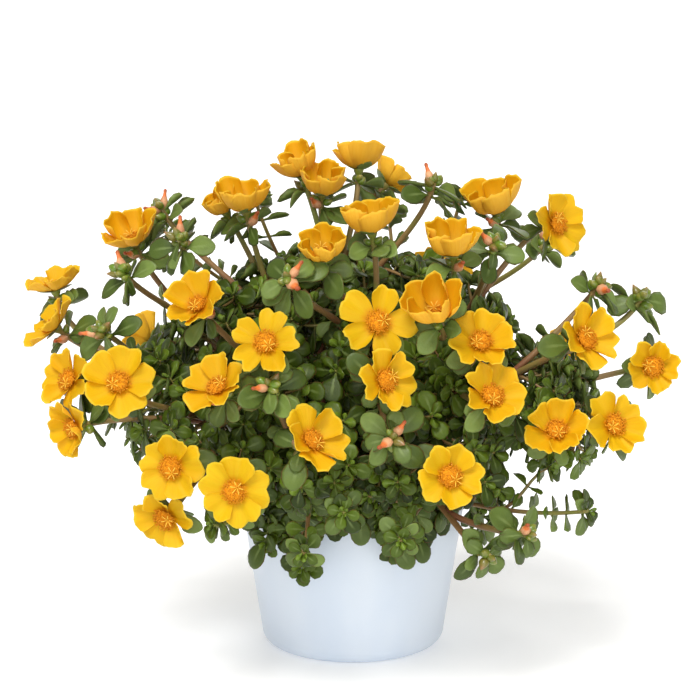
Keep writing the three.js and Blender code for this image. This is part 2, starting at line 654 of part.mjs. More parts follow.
const pot = potShape();
addMesh('pot', geometryOf(solidOf(pot.geometry)), potFinish);
addMesh('soil', soilShape(pot.inner), soilFinish);

for (const stem of stems) {
  const solids = stem.branches.map((branch) => branchSolid(branch, branch.pieces));
  addMesh(stem.name, geometryOf(solids.reduce((whole, solid) => whole.add(solid))), leafFinish);
}

blooms.sort((a, b) => a.number - b.number);
for (const bloom of blooms) {
  const name = `bloom_${String(bloom.number).padStart(2, '0')}`;
  addMesh(name, geometryOf(bloom.solid), petalFinish, { position: bloom.seat, turn: bloom.turn });
}

export default group;
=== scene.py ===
import bpy
import numpy as np
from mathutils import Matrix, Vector


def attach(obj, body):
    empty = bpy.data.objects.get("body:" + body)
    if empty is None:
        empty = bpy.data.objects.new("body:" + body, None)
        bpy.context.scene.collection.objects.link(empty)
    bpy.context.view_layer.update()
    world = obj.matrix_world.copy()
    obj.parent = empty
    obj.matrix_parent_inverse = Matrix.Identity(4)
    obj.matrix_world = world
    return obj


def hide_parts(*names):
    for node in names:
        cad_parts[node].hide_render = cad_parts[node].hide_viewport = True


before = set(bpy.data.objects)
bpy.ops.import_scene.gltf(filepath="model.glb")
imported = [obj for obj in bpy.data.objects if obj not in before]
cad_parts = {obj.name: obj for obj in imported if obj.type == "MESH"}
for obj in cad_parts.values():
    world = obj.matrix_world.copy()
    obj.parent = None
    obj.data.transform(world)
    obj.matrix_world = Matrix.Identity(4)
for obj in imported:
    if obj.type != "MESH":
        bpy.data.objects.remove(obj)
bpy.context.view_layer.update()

# ---------- the pot ----------
# A tapered grower's pot of smooth, pale blue-white plastic, moulded in one piece with a round bottom edge
# and a thin, softly rounded rim. It stands on its flat underside. Lengths are in millimetres.
MM = 0.001
POT_HEIGHT, POT_RIM, POT_BASE = 107.0, 70.5, 55.5
POT_EDGE, POT_WALL, POT_FLOOR, POT_FILLET = 9.0, 3.0, 3.0, 6.0
POT_SLOPE = (POT_RIM - POT_BASE) / (POT_HEIGHT - POT_EDGE)
POT_SIDES = 128


def tone(red, green, blue):
    """The linear colour of an sRGB colour given from 0 to 255."""
    share = np.array([red, green, blue]) / 255
    linear = np.where(share <= 0.04045, share / 12.92, ((share + 0.055) / 1.055) ** 2.4)
    return (*linear, 1.0)


def pot_outside(z):
    """The pot's outer radius at a height: a straight taper from the bottom edge to the rim."""
    return POT_BASE + POT_SLOPE * (z - POT_EDGE)


def arc(radius, z, size, start, end, steps):
    """Points (radius, z) on an arc of a profile: its centre, its own radius, and its first and last angle."""
    turn = np.radians(np.linspace(start, end, steps))
    return np.stack([radius + size * np.cos(turn), z + size * np.sin(turn)], axis=-1)


def polar(radius, turn, z):
    """Points at a radius, an angle about Z and a height: (radius cos turn, radius sin turn, z)."""
    return np.stack(np.broadcast_arrays(radius * np.cos(turn), radius * np.sin(turn), z), axis=-1)


def evenly_round(count):
    """Angles that share a full turn evenly."""
    return 2 * np.pi * np.arange(count) / count


def revolved(profile, sides):
    """Rings of a profile turned about Z: a point (radius, z) of it becomes a ring of that radius."""
    return polar(profile[:, :1], evenly_round(sides), profile[:, 1:])[None]


def skin(rings, first, last, growth=0.0, slot=0):
    """Closed skins from rings of points (copies, rings, points round, 3), closed by the pole points first and
    last. Quads join the rings and triangles join the end rings to the poles. The faces point outwards where
    a ring turns anticlockwise about the way from first to last. growth is what materials read of a point."""
    copies, rows, columns = rings.shape[:3]
    points = np.concatenate([first[:, None], rings.reshape(copies, -1, 3), last[:, None]], axis=1)
    growth = np.broadcast_to(np.asarray(growth, float), rings.shape)
    growth = np.concatenate([growth[:, 0].mean(1)[:, None], growth.reshape(copies, -1, 3),
                             growth[:, -1].mean(1)[:, None]], axis=1)
    ring = 1 + np.arange(rows)[:, None] * columns + np.arange(columns)
    turned = np.roll(ring, -1, axis=1)
    end = rows * columns + 1
    quads = np.stack([ring[:-1], turned[:-1], turned[1:], ring[1:]], axis=-1).reshape(-1, 4)
    triangles = np.concatenate([
        np.stack([np.zeros(columns, int), turned[0], ring[0]], axis=-1),
        np.stack([np.full(columns, end), ring[-1], turned[-1]], axis=-1)])
    offset = np.arange(copies)[:, None, None] * (end + 1)
    return (points.reshape(-1, 3), (quads + offset).reshape(-1, 4), (triangles + offset).reshape(-1, 3),
            growth.reshape(-1, 3), slot)


def make_piece(name, parts, materials):
    """One smooth mesh object of several parts, each (points, quads, triangles, growth, material slot)."""
    points, quads, triangles, growths, slots = zip(*parts)
    starts = np.cumsum([0] + [len(part) for part in points])
    slots = np.concatenate([np.full(len(faces), slot) for kind in (quads, triangles)
                            for faces, slot in zip(kind, slots)])
    quads, triangles = (np.concatenate([faces + start for faces, start in zip(kind, starts)])
                        for kind in (quads, triangles))
    corners = np.repeat([4, 3], [len(quads), len(triangles)])
    around = np.concatenate([quads.ravel(), triangles.ravel()])
    mesh = bpy.data.meshes.new(name)
    mesh.vertices.add(starts[-1])
    mesh.vertices.foreach_set("co", (np.concatenate(points) * MM).astype(np.float32).ravel())
    mesh.loops.add(len(around))
    mesh.loops.foreach_set("vertex_index", around.astype(np.int32))
    mesh.polygons.add(len(corners))
    mesh.polygons.foreach_set("loop_start", (np.cumsum(corners) - corners).astype(np.int32))
    mesh.polygons.foreach_set("material_index", slots.astype(np.int32))
    mesh.polygons.foreach_set("use_smooth", np.ones(len(corners), bool))
    growth = mesh.attributes.new("growth", "FLOAT_VECTOR", "POINT")
    growth.data.foreach_set("vector", np.concatenate(growths).astype(np.float32).ravel())
    for material in materials:
        mesh.materials.append(material)
    mesh.update()
    piece = bpy.data.objects.new(name, mesh)
    bpy.context.scene.collection.objects.link(piece)
    return piece


def node(tree, kind, settings=None, **inputs):
    """A shader node with its settings. An input, by name with _ for a space or by i and its number, is set to
    a value or joined to another node's output."""
    made = tree.nodes.new("ShaderNode" + kind)
    for key, value in (settings or {}).items():
        setattr(made, key, value)
    for key, value in inputs.items():
        socket = made.inputs[int(key[1:]) if key[1:].isdigit() else key.replace("_", " ")]
        if isinstance(value, bpy.types.NodeSocket):
            tree.links.new(value, socket)
        else:
            socket.default_value = value
    return made


def band(tree, value, low, high, under=0.0, over=1.0):
    """A smooth step of a value: under where it is below low, over where it is above high."""
    return node(tree, "MapRange", {"interpolation_type": "SMOOTHSTEP"}, Value=value, From_Min=low,
                From_Max=high, To_Min=under, To_Max=over).outputs[0]


def sums(tree, operation, one, other=0.5):
    """One step of arithmetic on values."""
    return node(tree, "Math", {"operation": operation}, i0=one, i1=other).outputs[0]


def blend(tree, share, one, other):
    """A colour between one and other by a share."""
    return node(tree, "Mix", {"data_type": "RGBA"}, i0=share, i6=one, i7=other).outputs[2]


def washed(tree, colour, *washes):
    """A colour with others washed over it in turn, each given as (value, low, high, under, over, colour). It
    covers by the share under where its value is below low, and by the share over where that is above high."""
    for value, low, high, under, over, wash in washes:
        colour = blend(tree, band(tree, value, low, high, under, over), colour, wash)
    return colour


def finish_material(name, **constants):
    """A new material, its tree, and its surface shader with the values that are the same all over."""
    material = bpy.data.materials.new(name)
    material.use_nodes = True
    surface = material.node_tree.nodes["Principled BSDF"]
    for key, value in constants.items():
        surface.inputs[key.replace("_", " ")].default_value = value
    return material, material.node_tree, surface


def mottle_group():
    """Group: soft blotches and fine grain that change over the object, with their sizes as inputs."""
    group = bpy.data.node_groups.new("mottle", "ShaderNodeTree")
    for name, value in (("Blotches", 40.0), ("Grain", 600.0)):
        group.interface.new_socket(name, in_out="INPUT", socket_type="NodeSocketFloat").default_value = value
    for name in ("Blotch", "Grain"):
        group.interface.new_socket(name, in_out="OUTPUT", socket_type="NodeSocketFloat")
    sizes = group.nodes.new("NodeGroupInput")
    result = group.nodes.new("NodeGroupOutput")
    place = node(group, "TexCoord").outputs["Object"]
    blotch = node(group, "TexNoise", None, Vector=place, Scale=sizes.outputs[0], Detail=3.0, Roughness=0.55)
    grain = node(group, "TexNoise", None, Vector=place, Scale=sizes.outputs[1], Detail=2.0, Roughness=0.5)
    group.links.new(blotch.outputs[0], result.inputs[0])
    group.links.new(grain.outputs[0], result.inputs[1])
    return group


MOTTLE = mottle_group()


def mottle(tree, blotches, grain):
    """The blotch and the grain of a surface, each a value from 0 to 1."""
    made = node(tree, "Group", {"node_tree": MOTTLE}, Blotches=blotches, Grain=grain)
    return made.outputs["Blotch"], made.outputs["Grain"]


def cover(tree, surface, colour, height, strength, distance, roughness=None):
    """Gives a surface its colour, a normal raised by a height, and its roughness where that changes."""
    raised = node(tree, "Bump", None, Strength=strength, Distance=distance, Height=height).outputs[0]
    for name, value in (("Base Color", colour), ("Roughness", roughness), ("Normal", raised)):
        if value is not None:
            tree.links.new(value, surface.inputs[name])


def pot_plastic():
    """Pale blue-white plastic: faint vertical flow marks from moulding, a fine satin grain."""
    material, tree, surface = finish_material("pot_plastic", Specular_IOR_Level=0.45)
    blotch, grain = mottle(tree, 18.0, 900.0)
    place = node(tree, "TexCoord").outputs["Object"]
    drawn = node(tree, "Mapping", None, Vector=place, Scale=(30.0, 30.0, 3.0)).outputs[0]
    flow = node(tree, "TexNoise", None, Vector=drawn, Scale=1.0, Detail=2.0).outputs[0]
    shade = sums(tree, "ADD", sums(tree, "MULTIPLY", blotch, 0.5), sums(tree, "MULTIPLY", flow, 0.5))
    colour = washed(tree, tone(205, 216, 230), (shade, 0.35, 0.65, 0, 1, tone(213, 222, 233)))
    cover(tree, surface, colour, grain, 0.08, 0.0003, band(tree, blotch, 0.3, 0.7, 0.34, 0.42))
    return material


def pot_profile():
    """(radius, z) from the underside's middle, out round the bottom edge, up the wall, over the rim, down the
    inside and in to the floor's middle. The wall is straight, the edge, the rim and the fillet are arcs."""
    lip = POT_WALL / 2
    rim = POT_HEIGHT - lip
    inside = POT_FLOOR + POT_FILLET
    wall = np.linspace(POT_EDGE + 4, rim - 3, 10)
    underside = np.stack([np.linspace(6, POT_BASE - POT_EDGE - 2, 6), np.zeros(6)], axis=-1)
    return np.concatenate([
        underside,
        arc(POT_BASE - POT_EDGE, POT_EDGE, POT_EDGE, -90, 0, 10),
        np.stack([pot_outside(wall), wall], axis=-1),
        arc(pot_outside(rim) - lip, rim, lip, 0, 180, 9),
        np.stack([pot_outside(wall[::-1]) - POT_WALL, wall[::-1]], axis=-1),
        arc(pot_outside(inside) - POT_WALL - POT_FILLET, inside, POT_FILLET, 0, -90, 7),
        [[20, POT_FLOOR]]])


pot = make_piece("pot_shell", [skin(revolved(pot_profile(), POT_SIDES), np.zeros((1, 3)),
                                    np.array([[0, 0, POT_FLOOR]]))], [pot_plastic()])
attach(pot, "root")
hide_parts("pot")

# ---------- the soil ----------
# Dark potting compost that fills the pot to just under its rim: a crumbly, slightly heaped top with bits of
# bark and pale perlite lying in it.
SOIL_TOP, SOIL_CLEAR = 95.0, 0.6
SOIL_FOOT = POT_FLOOR + 0.3
SOIL_SIDES, WALL_RINGS, TOP_RINGS = 96, 8, 32
LUMPS, LUMP_REACH, LUMPS_SINK = 900, 62, 0.6
CRUMBS, CRUMB_REACH, CRUMB_LIFT = 180, 60, 0.2
rng = np.random.default_rng(11)


def soil_rings():
    """Rings up the pot's inside and then in over the top, whose height is a sum of round lumps: each adds
    height exp(-(distance / size)^2)."""
    z = np.linspace(SOIL_FOOT + POT_FILLET, SOIL_TOP - 1, WALL_RINGS)
    wall = np.stack([pot_outside(z) - POT_WALL - SOIL_CLEAR, z], axis=-1)
    across = np.linspace(pot_outside(SOIL_TOP) - POT_WALL - SOIL_CLEAR, 1.5, TOP_RINGS)
    top = np.stack([across, np.full(TOP_RINGS, SOIL_TOP)], axis=-1)
    foot = np.array([[wall[0, 0] - POT_FILLET, SOIL_FOOT]])
    rings = revolved(np.concatenate([foot, wall, top]), SOIL_SIDES)
    lumps = rng.uniform(-LUMP_REACH, LUMP_REACH, (LUMPS, 2))
    size = rng.uniform(1.2, 3.4, LUMPS)
    height = rng.uniform(-0.5, 1.0, LUMPS) * size * 0.5
    away = ((rings[0, -TOP_RINGS:, :, None, :2] - lumps) ** 2).sum(-1)
    rings[0, -TOP_RINGS:, :, 2] += (height * np.exp(-away / size ** 2)).sum(-1) - LUMPS_SINK
    return rings


def crumbs(count, longest, slot):
    """Small rough lumps on the soil: squashed balls of 4 rings of 6 points, each point pushed in or out. They
    lie evenly spread, because the distance from the middle goes with the root of a random share."""
    centre = polar(CRUMB_REACH * np.sqrt(rng.random(count)), rng.uniform(0, 2 * np.pi, count),
                   SOIL_TOP + CRUMB_LIFT)
    lift = np.radians(np.linspace(-55, 55, 4))[:, None]
    size = rng.uniform(0.4, 1.0, (count, 1, 1, 3)) * longest / 2 * np.array([1, 0.7, 0.5])
    rough = rng.uniform(0.8, 1.15, (count, 4, 6, 1))
    spin = rng.uniform(0, 2 * np.pi, (count, 1, 1))
    x, y, z = np.moveaxis(polar(np.cos(lift), evenly_round(6), np.sin(lift)) * size * rough, -1, 0)
    turned = np.stack([x * np.cos(spin) - y * np.sin(spin), x * np.sin(spin) + y * np.cos(spin), z], axis=-1)
    pole = np.array([0, 0, 1]) * size[:, 0, 0, 2:]
    shade = rng.random((count, 1, 1, 1))
    return skin(turned + centre[:, None, None], centre - pole, centre + pole, shade, slot)


def growth_of(tree):
    """What a point's growth attribute says, as three values."""
    growth = node(tree, "Attribute", {"attribute_name": "growth"}).outputs["Vector"]
    return node(tree, "SeparateXYZ", None, Vector=growth).outputs


def compost():
    """Damp, dark brown compost with lighter fibres and a rough grain."""
    material, tree, surface = finish_material("compost", Roughness=0.95, Specular_IOR_Level=0.2)
    blotch, grain = mottle(tree, 160.0, 900.0)
    colour = washed(tree, tone(38, 27, 20), (blotch, 0.35, 0.7, 0, 1, tone(84, 62, 45)),
                    (grain, 0.6, 0.75, 0, 1, tone(120, 95, 70)))
    cover(tree, surface, colour, grain, 0.9, 0.001)
    return material


def crumb_stuff(name, dark, pale):
    """Bark or perlite: each lump has its own shade between two."""
    material, tree, surface = finish_material(name, Roughness=0.85, Specular_IOR_Level=0.25)
    _, grain = mottle(tree, 100.0, 1500.0)
    cover(tree, surface, blend(tree, growth_of(tree)[0], dark, pale), grain, 0.5, 0.0005)
    return material


soil = make_piece(
    "potting_soil",
    [skin(soil_rings(), np.array([[0, 0, SOIL_FOOT]]), np.array([[0, 0, SOIL_TOP]])),
     crumbs(CRUMBS, 6.0, 1), crumbs(CRUMBS // 4, 4.0, 2)],
    [compost(), crumb_stuff("bark", tone(52, 36, 25), tone(128, 94, 62)),
     crumb_stuff("perlite", tone(196, 190, 178), tone(238, 236, 228))])
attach(soil, "root")
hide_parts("soil")

# ---------- the plan of the plant ----------
# Eighteen stems stand in the soil. Each forks into branches that end in a bloom, in a cluster of buds or in
# a whorl of small leaves, all on the dome that the foliage fills.
DOME_CENTRE = np.array([0, 0, 140.0])
DOME_SIZE = np.array([184.0, 160.0, 148.0])
GAP = 0.3
FOOT_RISE, HOLE_DEPTH = 2.0, 14.0
ROOT_RADIUS, FORK_RADIUS, TIP_RADIUS = 2.8, 2.3, 1.9
CALYX_LENGTH = 4.0
LEAVE, ARRIVE = 0.35, 0.3
CURL, SEAT_RADIUS = 34.0, 1.5
UP = np.array([0, 0, 1.0])
# A stem is its name, the bearing and distance of its foot, and its branches. A bearing turns about Z: 0 is
# the front, 90 the right, 180 the back. A branch's tip is at a bearing, a lift and a share of the dome's
# size, and faces a bearing and a lift. The branch leaves the first one at its fork. A bloom is its number,
# its petals' length, how wide it opens, in degrees, and for separate petals the roundness of their corners.
# The other branches end in a cluster of so many buds, or bear leaves alone, at so many joints.
STEMS = [
    ("stem_crown", (-60, 8), [
        dict(at=(-105, 77, 1.05), faces=(-70, 68), bloom=(1, 22.5, 33)),
        dict(at=(-76, 83, 0.98), faces=(15, 68), bloom=(2, 24, 31), fork=0.6),
        dict(at=(167, 84, 1.06), faces=(170, 78), bloom=(3, 22.5, 39), fork=0.5),
        dict(at=(154, 68, 0.99), faces=(120, 40), bloom=(4, 18, 50), fork=0.4),
        dict(at=(75, 71, 1), faces=(30, 70), buds=3, fork=0.45)]),
    ("stem_upper_front", (10, 12), [
        dict(at=(7, 60.5, 1), faces=(-40, 76), bloom=(5, 23.5, 34)),
        dict(at=(-10.5, 50.5, 1), faces=(0, 58), bloom=(6, 20.5, 39), fork=0.6),
        dict(at=(-18, 41, 1), faces=(-10, 40), buds=3, fork=0.5)]),
    ("stem_upper_left", (-100, 24), [
        dict(at=(-80, 64, 0.98), faces=(-50, 76), bloom=(7, 24, 37)),
        dict(at=(-101, 57.5, 0.97), faces=(-70, 60), bloom=(8, 17, 34), fork=0.6),
        dict(at=(-96, 47, 1.05), faces=(-60, 60), buds=3, fork=0.5)]),
    ("stem_left_high", (-85, 37), [
        dict(at=(-88, 40.5, 1.05), faces=(-35, 60), bloom=(9, 23, 41)),
        dict(at=(-74, 34, 1), faces=(-60, 50), buds=4, fork=0.6),
        dict(at=(-64, 46, 1), faces=(-30, 60), buds=3, fork=0.45)]),
    ("stem_far_left", (-95, 50), [
        dict(at=(-93, 24, 1.12), faces=(-90, 78), bloom=(10, 20, 58)),
        dict(at=(-81, 19, 1.07), faces=(-75, 42), bloom=(11, 20, 62), fork=0.6),
        dict(at=(-64, 22, 1), faces=(-50, 30), buds=4, fork=0.5)]),
    ("stem_left", (-66, 44), [
        dict(at=(-52, 14, 1), faces=(-5, 34), bloom=(29, 21.5, 72)),
        dict(at=(-71, 11, 1), faces=(-40, 24), bloom=(30, 18.5, 58), fork=0.55),
        dict(at=(-66, 2.5, 1), faces=(-48, -4), bloom=(31, 19, 56), fork=0.45)]),
    ("stem_middle_left", (-42, 28), [
        dict(at=(-40.5, 33, 1), faces=(-30, 42), bloom=(12, 20.5, 50)),
        dict(at=(-19, 26, 1.03), faces=(-8, 28), bloom=(13, 20, 64, 0.3), fork=0.55),
        dict(at=(-29, 17, 1), faces=(-32, 46), bloom=(28, 19.5, 56), fork=0.45)]),
    ("stem_lower_left", (-42, 46), [
        dict(at=(-37, 0, 1), faces=(-12, 12), bloom=(32, 18.5, 68)),
        dict(at=(-40, -11, 1), faces=(-25, -15), bloom=(33, 19, 60), fork=0.65),
        dict(at=(-23, -3, 1.02), faces=(-8, 5), bloom=(34, 19.5, 76), fork=0.55),
        dict(at=(-30, -12, 0.96), faces=(-60, 10), leaves=3, fork=0.4)]),
    ("stem_front", (-12, 44), [
        dict(at=(-7.5, 8, 1), faces=(40, 35), bloom=(26, 21, 58)),
        dict(at=(-18, 18, 0.97), faces=(-10, 40), buds=3, fork=0.6),
        dict(at=(-11, -18, 0.95), faces=(-10, -20), leaves=2, fork=0.4),
        dict(at=(-2, -8, 0.95), faces=(0, 10), leaves=2, fork=0.5)]),
    ("stem_middle", (15, 27), [
        dict(at=(6, 32, 0.97), faces=(0, 20), bloom=(14, 22, 78, 0.3)),
        dict(at=(7, 19, 1.04), faces=(35, 18), bloom=(25, 19.5, 60), fork=0.6),
        dict(at=(8, 8, 0.97), faces=(5, 30), buds=3, fork=0.5)]),
    ("stem_upper_right", (55, 20), [
        dict(at=(34, 50, 1), faces=(-20, 74), bloom=(16, 23, 43)),
        dict(at=(18, 33, 1.07), faces=(-25, 52), bloom=(15, 24, 37), fork=0.6)]),
    ("stem_high_right", (95, 26), [
        dict(at=(89, 58, 1), faces=(-30, 64), bloom=(17, 24.5, 38)),
        dict(at=(94, 43, 1.03), faces=(40, 15), bloom=(18, 21, 66), fork=0.6),
        dict(at=(52, 48, 0.97), faces=(10, 50), buds=3, fork=0.5)]),
    ("stem_right_high", (80, 42), [
        dict(at=(57, 22, 1), faces=(36, 28), bloom=(20, 21, 60)),
        dict(at=(75, 30, 1), faces=(40, 45), buds=4, fork=0.6),
        dict(at=(89, 23, 1.06), faces=(40, 60), buds=3, fork=0.5)]),
    ("stem_right", (62, 50), [
        dict(at=(87, 10, 1), faces=(5, 12), bloom=(21, 17, 60)),
        dict(at=(58, 5, 1), faces=(25, 22), bloom=(24, 19, 66), fork=0.55),
        dict(at=(42, 7, 1), faces=(-5, 40), bloom=(23, 20, 56), fork=0.5)]),
    ("stem_front_right", (32, 42), [
        dict(at=(29, 26, 1), faces=(5, 38), bloom=(19, 19.5, 58)),
        dict(at=(29, 15, 1), faces=(15, 36), bloom=(22, 19, 60), fork=0.6),
        dict(at=(19, 0, 1), faces=(12, 18), bloom=(27, 18.5, 66), fork=0.45)]),
    ("stem_low_right", (44, 45), [
        dict(at=(29, -18, 1), faces=(30, 0), buds=3),
        dict(at=(36, -13, 1.02), faces=(40, 10), buds=3, fork=0.6),
        dict(at=(50, -10, 1.02), faces=(60, 15), leaves=4, fork=0.45),
        dict(at=(10, -14, 0.97), faces=(0, -10), leaves=2, fork=0.4)]),
    ("stem_back_left", (-148, 34), [
        dict(at=(-168, 21, 1), faces=(-168, 30), bloom=(35, 21, 66)),
        dict(at=(-128, 9, 1), faces=(-124, 16), bloom=(36, 21, 60), fork=0.5),
        dict(at=(-149, 14, 1), faces=(-152, 20), bloom=(37, 22, 72), fork=0.45),
        dict(at=(-112, 2, 1), faces=(-110, 20), buds=3, fork=0.4),
        dict(at=(-178, 30, 1), faces=(-178, 40), buds=3, fork=0.55),
        dict(at=(-160, -8, 0.97), faces=(-160, 0), leaves=2, fork=0.35),
        dict(at=(-132, 57, 0.97), faces=(-130, 70), leaves=2, fork=0.6),
        dict(at=(-113, 40, 1), faces=(-110, 50), leaves=2, fork=0.5),
        dict(at=(-138, 5, 0.98), faces=(-138, 10), leaves=2, fork=0.45),
        dict(at=(-118, -14, 0.9), faces=(-118, -10), leaves=2, fork=0.35),
        dict(at=(-172, 6, 1), faces=(-172, 20), buds=3, fork=0.5)]),
    ("stem_back_right", (148, 36), [
        dict(at=(156, 25, 1), faces=(156, 35), bloom=(38, 22, 70)),
        dict(at=(165, 14, 1), faces=(165, 20), bloom=(39, 21, 66), fork=0.5),
        dict(at=(130, 5, 1), faces=(128, 14), bloom=(40, 21, 60), fork=0.45),
        dict(at=(116, 36, 1), faces=(112, 50), buds=3, fork=0.6),
        dict(at=(128, -2, 1), faces=(125, 15), buds=3, fork=0.4),
        dict(at=(155, -10, 0.97), faces=(160, 0), leaves=2, fork=0.35),
        dict(at=(128, 56, 0.97), faces=(130, 70), leaves=2, fork=0.6),
        dict(at=(167, 46, 1), faces=(167, 55), leaves=2, fork=0.55),
        dict(at=(146, 16, 0.98), faces=(146, 20), leaves=2, fork=0.5),
        dict(at=(118, -14, 0.9), faces=(118, -10), leaves=2, fork=0.35),
        dict(at=(178, -2, 1), faces=(178, 15), buds=3, fork=0.4)]),
]


def unit(vectors):
    """Vectors scaled to length 1."""
    return vectors / np.linalg.norm(vectors, axis=-1, keepdims=True)


def towards(bearing, lift):
    """The unit vector at a bearing about Z and a lift above the horizontal, in degrees."""
    turn, rise = np.radians(bearing), np.radians(lift)
    return np.stack([np.sin(turn) * np.cos(rise), -np.cos(turn) * np.cos(rise), np.sin(rise)], axis=-1)


def in_dome(bearing, lift, out):
    """The point of the dome at a bearing and a lift, out times as far out as its surface."""
    ray = towards(bearing, lift)
    return DOME_CENTRE + ray * out / np.linalg.norm(ray / DOME_SIZE)


def spread(n):
    """The n-th of an even spread of numbers from 0 to 1, by the golden ratio."""
    return (n * 0.6180339887) % 1


def beside(axis):
    """Unit vectors square to each axis."""
    flat = np.abs(axis[..., 2:]) < 0.9
    return unit(np.cross(np.where(flat, UP, np.array([1.0, 0, 0])), axis))


def route_knots(start, leaves, end, faces):
    """The four knots of Bezier routes from start to end that leave along one way and arrive along another.
    The inner two lie the shares LEAVE and ARRIVE of the span from the ends."""
    span = np.linalg.norm(end - start, axis=-1, keepdims=True)
    return np.stack([start, start + LEAVE * span * leaves, end - ARRIVE * span * faces, end], axis=-2)


def route_at(knots, t):
    """Points at shares t of Bezier routes: (1-t)^3 a + 3(1-t)^2 t b + 3(1-t) t^2 c + t^3 d."""
    t = np.asarray(t, float)[..., None]
    a, b, c, d = (knots[..., None, i, :] for i in range(4))
    return (1 - t) ** 3 * a + 3 * (1 - t) ** 2 * t * b + 3 * (1 - t) * t ** 2 * c + t ** 3 * d


def route_along(knots, t):
    """The unit tangents of Bezier routes at shares t, from the slope of the same formula."""
    t = np.asarray(t, float)[..., None]
    a, b, c, d = (knots[..., None, i, :] for i in range(4))
    return unit((1 - t) ** 2 * (b - a) + 2 * (1 - t) * t * (c - b) + t ** 2 * (d - c))


def petal_line(length, open_degrees, s):
    """Radius, height and lean of a petal's middle line at a share s of it. The lean goes evenly from first =
    open + curl to open - curl, so the line is an arc: radius = 1.5 + (L / 2 curl)(cos lean - cos first) and
    height = (L / 2 curl)(sin first - sin lean). The curl is 34 degrees in a closed bloom, 0 in a flat one."""
    curl = np.radians(CURL) * np.cos(np.radians(open_degrees))
    first = np.radians(open_degrees) + curl
    lean = first - 2 * curl * s
    arc_radius = length / (2 * curl)
    return (SEAT_RADIUS + arc_radius * (np.cos(lean) - np.cos(first)),
            arc_radius * (np.sin(first) - np.sin(lean)), lean)


def plan_stem(number, root, tips):
    """The branches of a stem. The first stands in the soil, the others leave it at their fork."""
    foot = towards(root[0], 0) * root[1] + UP * (SOIL_TOP - HOLE_DEPTH + GAP)
    branches = []
    for place, tip in enumerate(tips):
        faces = towards(*tip["faces"])
        end = in_dome(*tip["at"])
        branch = dict(tip, number=7 * number + place, main=place == 0, way=faces, foot=foot)
        if "bloom" in tip:
            length, opening = tip["bloom"][1:3]
            branch["seat"] = end - faces * 0.5 * petal_line(length, opening, 1)[1]
            end = branch["seat"] - faces * (GAP + CALYX_LENGTH)
        if place == 0:
            start, leaves = foot * [1, 1, 0] + UP * (SOIL_TOP + FOOT_RISE), UP
        else:
            fork = [tip["fork"]]
            start = route_at(branches[0]["knots"], fork)[0]
            leaves = unit(route_along(branches[0]["knots"], fork)[0] + unit(end - start))
        branch["knots"] = route_knots(start, leaves, end, faces)
        branch["span"] = np.linalg.norm(end - start)
        branch["radii"] = (ROOT_RADIUS if place == 0 else FORK_RADIUS, TIP_RADIUS)
        branches.append(branch)
    return branches


PLAN = [(name, plan_stem(number, root, tips)) for number, (name, root, tips) in enumerate(STEMS)]
BLOOMS = [branch for _, branches in PLAN for branch in branches if "bloom" in branch]

# ---------- where leaves and buds grow ----------
# Leaves and buds grow in whorls at the joints of a stem, each in the corner between two of its four faces.
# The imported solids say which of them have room: a leaf or a bud stands where a solid has a corner at its tip.
RING_STEP = 0.45
LOW_JOINTS, MIDDLE_JOINT, FIRST_PAIR, PAIRS_RUN = (0.3, 0.58), 0.45, 0.5, 0.4
UNDER_BLOOM, UNDER_BUDS, UNDER_TIP, END_PACE = 5, (8, 1.6), 3, 0.9
LARGE_LEAF = dict(length=19.0, width=13.0, thick=1.9, droop=0.16, fold=0.3)
SMALL_LEAF = dict(length=12.0, width=8.4, thick=1.7, droop=0.1, fold=0.25)
LEAST_SCALE, SCALE_SPREAD = 0.82, 0.36
SHORTEST_BUD, BUD_SPREAD = 5.5, 5
FACES = 4
LEANS, LEAN_SPREAD = {"leaf": (72, 52, 104), "bud": (46, 62, 30)}, 24
AT_A_CORNER = 0.05


def joints_of(branch):
    """The joints of a branch from its base up: the share of its run and the size of its leaves. The outer
    ones are given in millimetres from its end, where a route's pace is END_PACE times its span."""
    def from_end(distance):
        return 1 - distance / (END_PACE * branch["span"])
    if "leaves" in branch:
        pairs = branch["leaves"] - 1
        shares = [FIRST_PAIR + PAIRS_RUN * i / pairs for i in range(pairs)] + [from_end(UNDER_TIP)]
        return [(t, SMALL_LEAF) for t in shares]
    low = [(t, SMALL_LEAF) for t in LOW_JOINTS] if branch["main"] else []
    if "bloom" in branch:
        return low + [(from_end(UNDER_BLOOM), LARGE_LEAF)]
    outer = [(from_end(distance), LARGE_LEAF) for distance in UNDER_BUDS]
    return low + [(MIDDLE_JOINT, SMALL_LEAF)] + outer


def whorls_of(branch):
    """The whorls of a branch, each with its middle, the way along the stem, two ways square to that and the
    stem's radius. The square ways are carried from ring to ring of the solid without twist."""
    stops, joints = [0.0], {}
    for t, size in joints_of(branch):
        before = stops[-1]
        between = int((t - before) / RING_STEP + 0.5) - 1
        stops += [before + (t - before) * i / (between + 1) for i in range(1, between + 1)]
        joints[len(stops) + branch["main"]] = (t, size)
        stops += [t, t]
    alongs = list(route_along(branch["knots"], stops))
    if branch["main"]:
        alongs.insert(0, UP)
    across = beside(alongs[0])
    whorls = []
    for ring, along in enumerate(alongs):
        across = unit(across - along * (across @ along))
        if ring in joints:
            t, size = joints[ring]
            radius = branch["radii"][0] + (branch["radii"][1] - branch["radii"][0]) * t
            whorls.append(dict(ring=ring, t=t, size=size, radius=radius, along=along, across=across,
                               third=np.cross(along, across), middle=route_at(branch["knots"], [t])[0]))
    return whorls


def leaning(along, out, lean):
    """Ways that lean from along towards out by lean degrees, and the ways square to them nearest to along."""
    lean = np.radians(np.asarray(lean, float))[..., None]
    way = along * np.cos(lean) + out * np.sin(lean)
    return way, unit(along - way * (along * way).sum(-1, keepdims=True))


